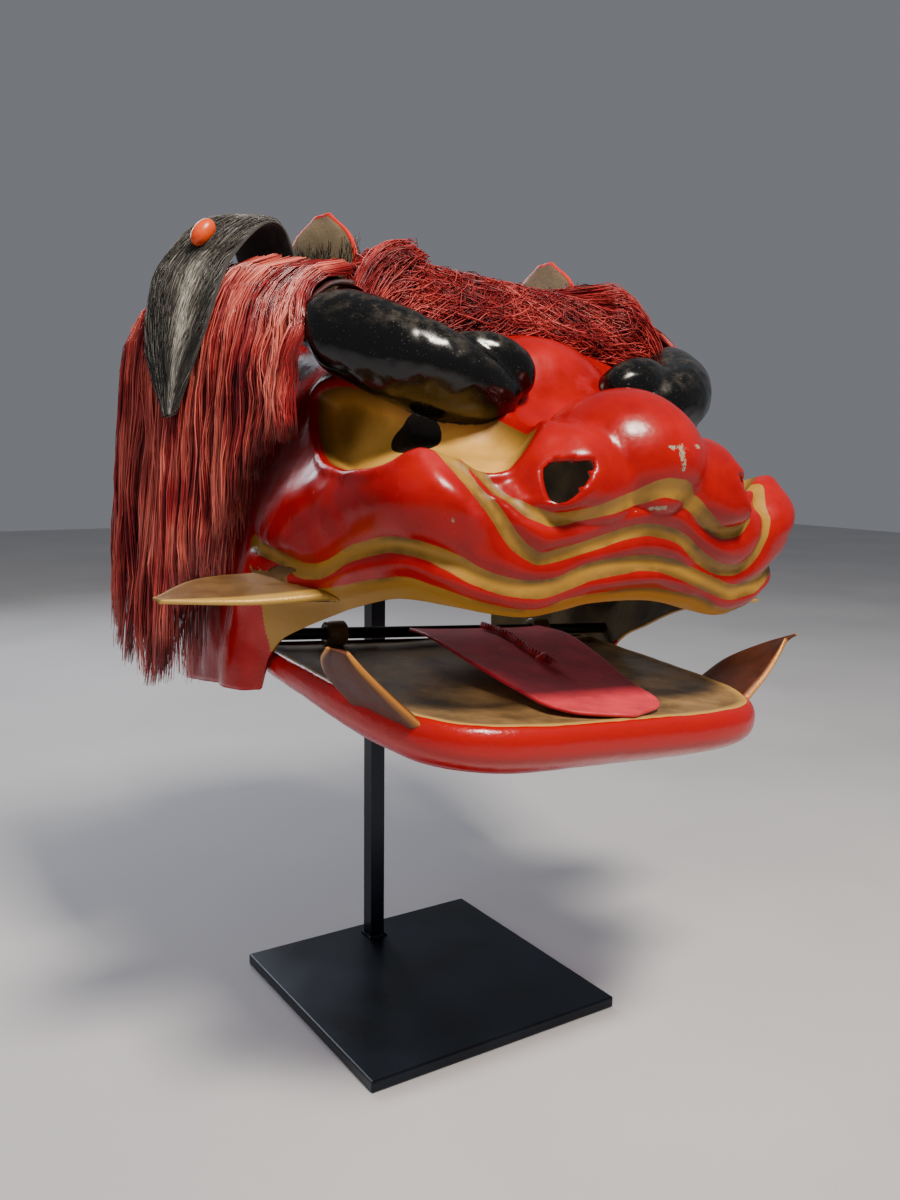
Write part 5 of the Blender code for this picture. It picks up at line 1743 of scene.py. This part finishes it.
@dataclass
class Ear:
    """One drooping ear: a leaf of hide, furred on its outer face, with an orange bead sewn on."""

    side: Side
    thickness: float = 0.006
    hairs: int = 4200
    bead_width: float = 0.013
    bead_length: float = 0.020
    seed: int = 21

    FRONT = ((0.67, 0.060, 0.840), (0.83, 0.075, 1.095), (1.04, 0.065, 1.015), (1.17, 0.035, 0.838),
             (1.22, 0.100, 0.662))
    REAR = ((0.71, 0.260, 0.830), (0.95, 0.240, 1.120), (1.20, 0.255, 1.010), (1.27, 0.225, 0.825),
            (1.25, 0.125, 0.650))
    PROFILE = ((0, 0.25, 0.25), (0.1, 0.55, 0.55), (0.5, 1, 1), (0.9, 0.55, 0.55), (1, 0.25, 0.25))
    BEAD_LEVEL = 3 / 7
    BEAD_ACROSS = 0.5

    def build(self, ground: BVHTree) -> None:
        """Models the leaf, its fur and its bead.

        Args:
            ground: The head's skin.
        """
        label = self.side.label
        loops, _ = leaf(self.FRONT, self.REAR, self.thickness, self.side, self.PROFILE, 0.65)
        body = skin(f"ear_{label}_leaf", close_ends(loops), wrap=True)
        rest_on(body, ground, reach=0.03)
        hide = Plain("goat_hide", "#35322e", "#171513", patch=9, tooth=0.9, depth=0.4, rough=0.8, sheen=0.3)
        finish_piece(body, (hide.make(),), (f"ear_{label}",))
        half = loops.shape[1] // 2
        outer, inner = loops[:, :half], loops[:, half:][:, ::-1]
        facing = unit(outer - inner)
        fur = self.fur(outer, facing)
        finish_piece(fur, (self.fur_finish(),))
        self.bead(outer, facing)

    def fur(self, outer: np.ndarray, facing: np.ndarray) -> bpy.types.Object:
        """Lays the fur on the leaf's outer face, combed from the crown down to the tip.

        Args:
            outer: Points of the leaf's outer face.
            facing: The unit directions out of it.

        Returns:
            The fur.
        """
        rng = np.random.default_rng(self.seed + self.side.value)
        steps, count = 7, self.hairs
        start = rng.uniform(0.12, 0.98, (count, 1))
        across = rng.uniform(0.02, 0.98, (count, 1))
        part = np.linspace(0, 1, steps)[None]
        length = rng.uniform(0.06, 0.15, (count, 1))
        down = np.clip(start + part * length, 0, 1.0)
        side = across + 0.10 * (0.55 - across) * part + rng.normal(0, 0.02, (count, 1)) * part
        side = np.clip(side + 0.012 * np.sin(start * 40 + part * 3), 0.0, 1.0)
        lift = -0.0004 + (0.0022 * rng.random((count, 1)) + 0.0006) * np.sin(part * 1.9)
        spot = self.read(outer, down, side) + self.read(facing, down, side) * lift[..., None]
        radius = rng.uniform(0.00030, 0.00048, (count, 1)) * (1 - 0.75 * part**3)
        streak = np.exp(-(((across[:, 0] - 0.40 + 0.10 * start[:, 0]) / 0.16) ** 2))
        patch = 0.5 + 0.5 * np.sin(start[:, 0] * 17 + across[:, 0] * 9)
        shade = 0.22 + 0.60 * streak * smooth_step(start[:, 0], 0.3, 0.55) + 0.12 * patch
        shade = shade + rng.normal(0, 0.12, count) + 0.25 * (1 - smooth_step(start[:, 0], 0.2, 0.34))
        return strand_mesh(f"ear_{self.side.label}_fur", spot, radius, np.clip(shade, 0, 1))

    def read(self, grid: np.ndarray, down: np.ndarray, side: np.ndarray) -> np.ndarray:
        """Reads a grid of points between its rows and columns.

        Args:
            grid: Rows and columns of points.
            down: Where to read along the rows, 0 to 1.
            side: Where to read along the columns, 0 to 1.

        Returns:
            The points read.
        """
        rows, columns = grid.shape[:2]
        row, column = down * (rows - 1), side * (columns - 1)
        low_row = np.clip(row.astype(int), 0, rows - 2)
        low_column = np.clip(column.astype(int), 0, columns - 2)
        part_row, part_column = (row - low_row)[..., None], (column - low_column)[..., None]
        top, bottom = (
            grid[level, low_column] * (1 - part_column) + grid[level, low_column + 1] * part_column
            for level in (low_row, low_row + 1)
        )
        return top * (1 - part_row) + bottom * part_row

    def fur_finish(self) -> bpy.types.Material:
        """Builds the fur's material: coarse goat hair, black to silver grey.

        Returns:
            The material.
        """
        m = Recipe(f"goat_hair_{self.side.label}")
        shade = m.add("Attribute", {}, 2, attribute_name="shade")
        low = m.add("MapRange", {"Value": shade, 1: 0.05, 2: 0.5})
        high = m.add("MapRange", {"Value": shade, 1: 0.5, 2: 0.95})
        colour = m.add("Mix", {0: low, 6: "#100f0e", 7: "#4d4943"}, 2, data_type="RGBA")
        colour = m.add("Mix", {0: high, 6: colour, 7: "#b9b4a8"}, 2, data_type="RGBA")
        return m.dress(Base_Color=colour, Roughness=0.42, Specular_IOR_Level=0.6)

    def bead(self, outer: np.ndarray, facing: np.ndarray) -> None:
        """Models the orange bead, an oval drawn in at its two holes.

        Args:
            outer: Points of the leaf's outer face.
            facing: The unit directions out of it.
        """
        level, across = np.array([[self.BEAD_LEVEL]]), np.array([[self.BEAD_ACROSS]])
        spot = self.read(outer, level, across)[0, 0]
        out = self.read(facing, level, across)[0, 0]
        along = unit(self.read(outer, level + 0.04, across)[0, 0] - spot)
        over = np.cross(out, along)
        centre = spot + out * self.bead_width * 0.42
        turn = np.linspace(0, math.pi, 33)
        around = np.linspace(0, 2 * math.pi, 48, endpoint=False)
        height = -np.cos(turn) * self.bead_length / 2 * (1 - 0.03 * (np.abs(np.cos(turn)) > 0.995))
        width = np.sin(turn) ** 0.92 * self.bead_width / 2
        rings = (
            centre
            + along * height[:, None, None]
            + (out * np.cos(around)[:, None] + over * np.sin(around)[:, None])[None] * width[:, None, None]
        )
        bead = skin(f"ear_bead_{self.side.label}_glazed", rings, wrap=True)
        glaze = Plain(
            f"glazed_bead_{self.side.label}", "#ea5a1c", "#d8430f", patch=6, tooth=1.5, depth=0.08, rough=0.3
        )
        finish_piece(bead, (glaze.make(),), (f"ear_bead_{self.side.label}",))


@dataclass
class Cup:
    """One upright cup on the crown beside an ear: a red-edged leaf, tan inside, black fur at its foot."""

    side: Side
    wall: float = 0.0035
    border: float = 0.0035  # width of the red edge
    hairs: int = 1300
    seed: int = 33

    FRONT = ((0.55, -0.030, 0.840), (0.58, 0.000, 1.060), (0.60, 0.095, 1.155))
    REAR = ((0.62, 0.275, 0.840), (0.63, 0.235, 1.080), (0.61, 0.150, 1.155))
    PROFILE = ((0, 0.6, 0.6), (0.1, 0.9, 0.9), (0.5, 1, 1), (0.9, 0.9, 0.9), (1, 0.6, 0.6))

    def build(self, ground: BVHTree) -> None:
        """Models the cup and dresses it.

        Args:
            ground: The head's skin.
        """
        loops, rim = leaf(self.FRONT, self.REAR, self.wall, self.side, self.PROFILE, 0.3)
        tip = np.linspace(1, 0, len(rim))[:, None] * 0.075
        edge = (np.minimum(rim, tip) - self.border) / MM
        loops, edge = close_ends(loops), np.concatenate([edge[:1], edge, edge[-1:]])
        label = self.side.label
        cup = skin(f"ear_cup_{label}_cloth", loops, wrap=True, split=edge)
        rest_on(cup, ground, reach=0.03)
        look = TwoTone(f"cloth_bound_card_{label}", "#a08a66", "#dc2a14", "#a08a66", 0.0, 0.8, 0.55)
        finish_piece(cup, (look.make(),), (f"ear_cup_{label}",))
        self.fur(loops)

    def fur(self, loops: np.ndarray) -> None:
        """Stands short black hair on the cup's faces, thick at its foot.

        Args:
            loops: The cup's loops.
        """
        rng = np.random.default_rng(self.seed + self.side.value)
        rows, columns = loops.shape[:2]
        row = (rows - 1) * rng.uniform(0.05, 0.50, self.hairs)
        column = rng.integers(0, columns, self.hairs)
        foot = loops[row.astype(int), column]
        out = unit(foot - loops[row.astype(int)].mean(axis=1))
        climb = unit(np.stack([rng.normal(0, 0.25, self.hairs), rng.normal(0, 0.35, self.hairs),
                               np.ones(self.hairs)], -1))
        part = np.linspace(0, 1, 6)[None, :, None]
        length = rng.uniform(0.006, 0.013, (self.hairs, 1, 1))
        bow = np.sin(part * 2.2) * rng.uniform(0.0005, 0.002, (self.hairs, 1, 1))
        paths = foot[:, None] + climb[:, None] * part * length + out[:, None] * (bow + 0.0004)
        radius = np.full(paths.shape[:2], 0.00034) * (1 - 0.6 * part[..., 0] ** 2)
        shade = np.clip(rng.normal(0.12, 0.12, self.hairs), 0, 1)
        fur = strand_mesh(f"ear_cup_{self.side.label}_fur", paths, radius, shade)
        finish_piece(fur, (Ear(self.side).fur_finish(),))


@dataclass
class Tongue:
    """The thin red tongue, which lies on the jaw and rises to its root, and the knotted cord on it."""

    jaw: Jaw
    width: float = 0.084
    length: float = 0.160
    thickness: float = 0.002
    inset: float = 0.004
    seat: float = 0.0004
    cord_width: float = 0.005
    cord_from: float = 0.53
    cord_to: float = 0.97
    columns: int = 61
    rows: int = 121

    # distance from the tip, half width and rise as in the table of the part
    TABLE = (
        (0.00, 0.14, 0.0000), (0.04, 0.34, 0.0000), (0.14, 0.47, 0.0005), (0.33, 0.53, 0.0030),
        (0.58, 0.62, 0.0100), (0.83, 0.66, 0.0160), (1.00, 0.64, 0.0150),
    )

    def line(self, share: Any) -> tuple[np.ndarray, np.ndarray, np.ndarray]:
        """Returns the tongue's Y, half width and underside height at shares of its length from the tip.

        Args:
            share: Where to read it, 0 at the tip.

        Returns:
            Y, half width and height, in metres.
        """
        rows = np.array(self.TABLE)
        half = through(rows[:, 0], rows[:, 1], share) * self.width
        rise = through(rows[:, 0], rows[:, 2], share)
        y = self.jaw.rear_y - self.jaw.length + self.inset + np.asarray(share) * self.length
        return y, half, self.jaw.top(y) + self.seat + rise

    def build(self) -> None:
        """Models the tongue and the cord and dresses both."""
        share = np.linspace(0, 1, self.rows) ** 1.3
        y, half, base = self.line(share)
        tip = np.sqrt(np.clip(1 - (1 - np.clip(share / 0.16, 0, 1)) ** 2, 0, 1))
        half = np.maximum(half, 0.47 * self.width * tip) * np.clip(tip, 0.02, 1)
        across = np.linspace(-1, 1, self.columns)
        x = across[None] * half[:, None]
        curl = 0.0012 * np.abs(across[None]) ** 4 * smooth_step(share, 0.05, 0.5)[:, None]
        under = np.stack([x, np.repeat(y[:, None], self.columns, 1), base[:, None] + curl], -1)
        loops = np.concatenate([under, (under + (0, 0, self.thickness))[:, ::-1]], axis=1)
        tongue = skin("tongue_leather", close_ends(loops), wrap=True)
        finish_piece(tongue, (self.leather(),), ("tongue",), JAW_BODY)
        self.cord()

    def leather(self) -> bpy.types.Material:
        """Builds thin dyed leather: matt crimson, rubbed pale in patches.

        Returns:
            The material.
        """
        m = Recipe("dyed_sheepskin")
        patch = m.add("TexNoise", {"Vector": m.place, "Scale": per_mm(18), "Detail": 6.0, "Roughness": 0.6})
        tone = m.add("MapRange", {"Value": patch, 1: 0.35, 2: 0.65})
        colour = m.add("Mix", {0: tone, 6: "#bc0a24", 7: "#de1a34"}, 2, data_type="RGBA")
        rub = m.add("TexNoise", {"Vector": m.place, "Scale": per_mm(9), "Detail": 8.0, "Roughness": 0.7,
                                 "Distortion": 0.8})
        pale = m.add("MapRange", {"Value": rub, 1: 0.58, 2: 0.68, 4: 0.45})
        colour = m.add("Mix", {0: pale, 6: colour, 7: "#dd5a60"}, 2, data_type="RGBA")
        pores = m.add("TexNoise", {"Vector": m.place, "Scale": per_mm(1.1), "Detail": 3.0})
        height = m.add("Math", {0: patch, 1: 3.0, 2: pores}, operation="MULTIPLY_ADD")
        normal = m.add("Bump", {"Height": height, "Distance": 0.4 * MM, "Strength": 0.5})
        return m.dress(Base_Color=colour, Roughness=0.55, Normal=normal, Sheen_Weight=0.15)

    def cord(self) -> None:
        """Twists the cord from three plies along the middle of the tongue and ends it in a frayed knot."""
        share = np.linspace(self.cord_from, self.cord_to, 160)
        y, _, base = self.line(share)
        radius = self.cord_width / 2
        z = base + self.thickness + radius + 0.0006
        centre = np.stack([0.0006 * np.sin(share * 60), y, z], -1)
        run = unit(np.gradient(centre, axis=0))
        side = np.array([1.0, 0, 0])
        over = np.cross(run, side)
        walk = np.append(0, np.cumsum(np.linalg.norm(np.diff(centre, axis=0), axis=1)))
        plies = []
        for ply in range(3):
            angle = walk / 0.0085 * 2 * math.pi + ply * 2 * math.pi / 3
            wide = radius * 0.46
            middle = centre + wide * (side * np.cos(angle)[:, None] + over * np.sin(angle)[:, None])
            plies.append(self.tube(f"ply_{ply}", middle, radius * 0.52))
        knot_turn = np.linspace(0, 4.2 * math.pi, 90)
        head = centre[0] + (0, 0.001, 0.0006)
        knot = head + np.stack([
            0.0034 * np.cos(knot_turn),
            0.0022 * np.sin(2 * knot_turn) - 0.001 * knot_turn / 13,
            0.0018 * np.sin(knot_turn),
        ], -1)
        plies.append(self.tube("knot", knot, radius * 0.62))
        rng = np.random.default_rng(3)
        part = np.linspace(0, 1, 8)[None, :, None]
        away = np.stack([rng.normal(0.3, 0.6, 60), rng.normal(-1.0, 0.3, 60), rng.normal(-0.1, 0.25, 60)], -1)
        length = rng.uniform(0.004, 0.010, (60, 1, 1))
        ends = head + unit(away)[:, None] * part * length + (0, 0, -1) * part**2 * 0.0018
        ends[..., 2] = np.maximum(ends[..., 2], self.line(self.cord_from)[2] + self.thickness + 0.0002)
        fray = strand_mesh("fray", ends, np.full(ends.shape[:2], 0.00022), rng.random(60))
        cord = join([*plies, fray], "tongue_cord_twisted")
        look = Plain(
            "dyed_cotton_cord", "#d8202a", "#a81018", patch=3, tooth=0.5, depth=0.2, rough=0.75, sheen=0.3
        )
        finish_piece(cord, (look.make(),), ("tongue_cord",), JAW_BODY)

    def tube(self, name: str, centre: np.ndarray, radius: float) -> bpy.types.Object:
        """Models one round strand along a line, rounded off at its ends.

        Args:
            name: The strand's name.
            centre: Points of its middle line.
            radius: Its radius in metres.

        Returns:
            The strand.
        """
        run = unit(np.gradient(centre, axis=0))
        side = unit(np.cross(run, (0.1, 0.2, 1.0)))
        over = np.cross(run, side)
        angles = np.linspace(0, 2 * math.pi, 10, endpoint=False)[None, :, None]
        thick = np.full(len(centre), radius)
        thick[0] = thick[-1] = 0.0
        thick[1] = thick[-2] = radius * 0.7
        around = side[:, None] * np.cos(angles) + over[:, None] * np.sin(angles)
        rings = centre[:, None] + thick[:, None, None] * around
        return skin(name, rings, wrap=True)


@dataclass
class Stand:
    """The plate, post and pad of the stand and the hinge rod, which keep their CAD shapes."""

    post_y: float = 0.079
    post_side: float = 0.012
    plate_top: float = 0.008

    def build(self) -> None:
        """Dresses the CAD nodes and adds the weld at the foot of the post."""
        steel = self.steel()
        for node in ("stand_base", "stand_post", "stand_cradle"):
            self.repaint(node, steel)
        rod = Plain("black_enamel", "#0d0c0c", "#080808", patch=20, tooth=1.2, depth=0.1, rough=0.35)
        self.repaint("hinge_rod", rod.make())
        self.weld()

    def repaint(self, node: str, material: bpy.types.Material) -> None:
        """Gives a CAD node a material.

        Args:
            node: The node's name.
            material: Its finish.
        """
        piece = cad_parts[node]
        piece.data.materials.clear()
        piece.data.materials.append(material)
        LOG.info("%s: dressed", node)

    def steel(self) -> bpy.types.Material:
        """Builds blued steel: satin and blue-black, a little uneven in tone.

        Returns:
            The material.
        """
        m = Recipe("waxed_blued_steel")
        patch = m.add("TexNoise", {"Vector": m.place, "Scale": per_mm(60), "Detail": 5.0})
        tone = m.add("MapRange", {"Value": patch, 1: 0.3, 2: 0.7})
        colour = m.add("Mix", {0: tone, 6: "#10151c", 7: "#1b2430"}, 2, data_type="RGBA")
        fine = m.add("TexNoise", {"Vector": m.place, "Scale": per_mm(2.0), "Detail": 4.0})
        rough = m.add("MapRange", {"Value": patch, 1: 0.3, 2: 0.7, 3: 0.26, 4: 0.36})
        normal = m.add("Bump", {"Height": fine, "Distance": 0.06 * MM, "Strength": 0.5})
        return m.dress(Base_Color=colour, Roughness=rough, Normal=normal, Metallic=0.6)

    def weld(self) -> None:
        """Lays a small weld bead round the foot of the post."""
        half = self.post_side / 2 + 0.0002
        ring = []
        for step in np.linspace(0, 2 * math.pi, 97):
            square = max(abs(math.cos(step)), abs(math.sin(step)))
            ring.append((half * math.cos(step) / square, half * math.sin(step) / square))
        ring = np.array(ring[:-1])
        size = 0.0016 * (1 + 0.25 * np.sin(np.arange(len(ring)) * 1.3))
        angles = np.linspace(0, math.pi / 2, 9)
        section = [(0.0, 0.0), *((math.cos(angle), math.sin(angle)) for angle in angles), (0.0, 1.0)]
        rings = []
        for out, up in section:
            grow = 1 + out * size / half
            z = np.full(len(ring), self.plate_top + 0.0002) + up * size
            rings.append(np.stack([ring[:, 0] * grow, ring[:, 1] * grow + self.post_y, z], -1))
        rings.append(rings[0])
        weld = skin("post_weld", np.array(rings), wrap=True)
        finish_piece(weld, (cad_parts["stand_base"].data.materials[0],), seated=False)


@dataclass
class Studio:
    """The plain pale floor, the soft lights and the camera at the photograph's angle."""

    floor_side: float = 9.0
    camera_place: tuple[float, float, float] = (-0.3964, -0.6380, 0.4020)
    right: tuple[float, float, float] = (0.83913, -0.54378, 0.01269)
    up: tuple[float, float, float] = (0.06692, 0.12637, 0.98972)
    ahead: tuple[float, float, float] = (0.53980, 0.82966, -0.14244)
    lens: float = 31.74  # mm on a 36 mm sensor
    head_centre: tuple[float, float, float] = (0.0, -0.03, 0.34)

    def floor(self) -> None:
        """Lays the floor."""
        deselect()
        bpy.ops.mesh.primitive_plane_add(size=self.floor_side, location=(0, 0, -0.0002))
        floor = bpy.context.active_object
        floor.name = "floor"
        finish = Plain("painted_floor", "#c9c9ca", "#bfbfc1", patch=400, tooth=3, depth=0.05, rough=0.7)
        floor.data.materials.append(finish.make())

    def lamp(self, name: str, offset: tuple[float, float, float], size: float, power: float, colour: str,
             mirrored: bool = True) -> None:
        """Hangs a soft lamp that faces the head.

        Args:
            name: The lamp's name.
            offset: Its place from the head: to the camera's right, up, and towards the camera, in metres.
            size: The side of its square panel in metres.
            power: Its power in watts.
            colour: Its sRGB colour.
            mirrored: Whether it shows in glossy finishes.
        """
        right, up, ahead = (Vector(axis) for axis in (self.right, self.up, self.ahead))
        panel = bpy.data.lights.new(name, "AREA")
        panel.size = size
        panel.energy = power
        panel.color = paint(colour)[:3]
        lamp = bpy.data.objects.new(name, panel)
        centre = Vector(self.head_centre)
        lamp.location = centre + right * offset[0] + up * offset[1] - ahead * offset[2]
        lamp.rotation_euler = (centre - lamp.location).to_track_quat("-Z", "Y").to_euler()
        lamp.visible_glossy = mirrored
        bpy.context.scene.collection.objects.link(lamp)

    def light(self) -> None:
        """Hangs the key, fill and rim lamps and sets the room's even light."""
        self.lamp("key", (0.50, 1.20, 0.95), 0.34, 46.0, "#fff4e6")
        self.lamp("fill", (-1.5, 0.7, 1.3), 1.1, 9.0, "#f6f4ff", mirrored=False)
        self.lamp("rim", (-0.9, 1.1, -1.3), 0.9, 16.0, "#f2f5ff")
        world = bpy.data.worlds.new("room")
        world.use_nodes = True
        room = world.node_tree.nodes["Background"]
        room.inputs["Color"].default_value = paint("#b9bcc4")
        room.inputs["Strength"].default_value = 0.36
        bpy.context.scene.world = world

    def shoot(self) -> None:
        """Sets the camera."""
        lens = bpy.data.cameras.new("camera")
        lens.lens = self.lens
        lens.sensor_width = 36.0
        lens.sensor_fit = "AUTO"
        lens.clip_start = 0.01
        camera = bpy.data.objects.new("camera", lens)
        axes = Matrix((self.right, self.up, tuple(-part for part in self.ahead))).transposed()
        camera.matrix_world = Matrix.Translation(self.camera_place) @ axes.to_4x4()
        bpy.context.scene.collection.objects.link(camera)
        bpy.context.scene.camera = camera


def main() -> None:
    """Builds the pieces in order and notes the sizes."""
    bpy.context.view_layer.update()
    studio = Studio()
    studio.shoot()
    studio.floor()
    studio.light()
    shell = PaperShell()
    shell.build()
    ground = shell.surface
    for side in Side:
        Brow(side, ground).build()
        UpperFang(side, ground).build()
        Ear(side).build(ground)
        Cup(side).build(ground)
        Mane(side).build(ground)
    Crown().build(ground)
    jaw = Jaw()
    jaw.build()
    for side in Side:
        LowerFang(side, jaw).build()
    Tongue(jaw).build()
    Stand().build()


if __name__ == "__main__":
    main()
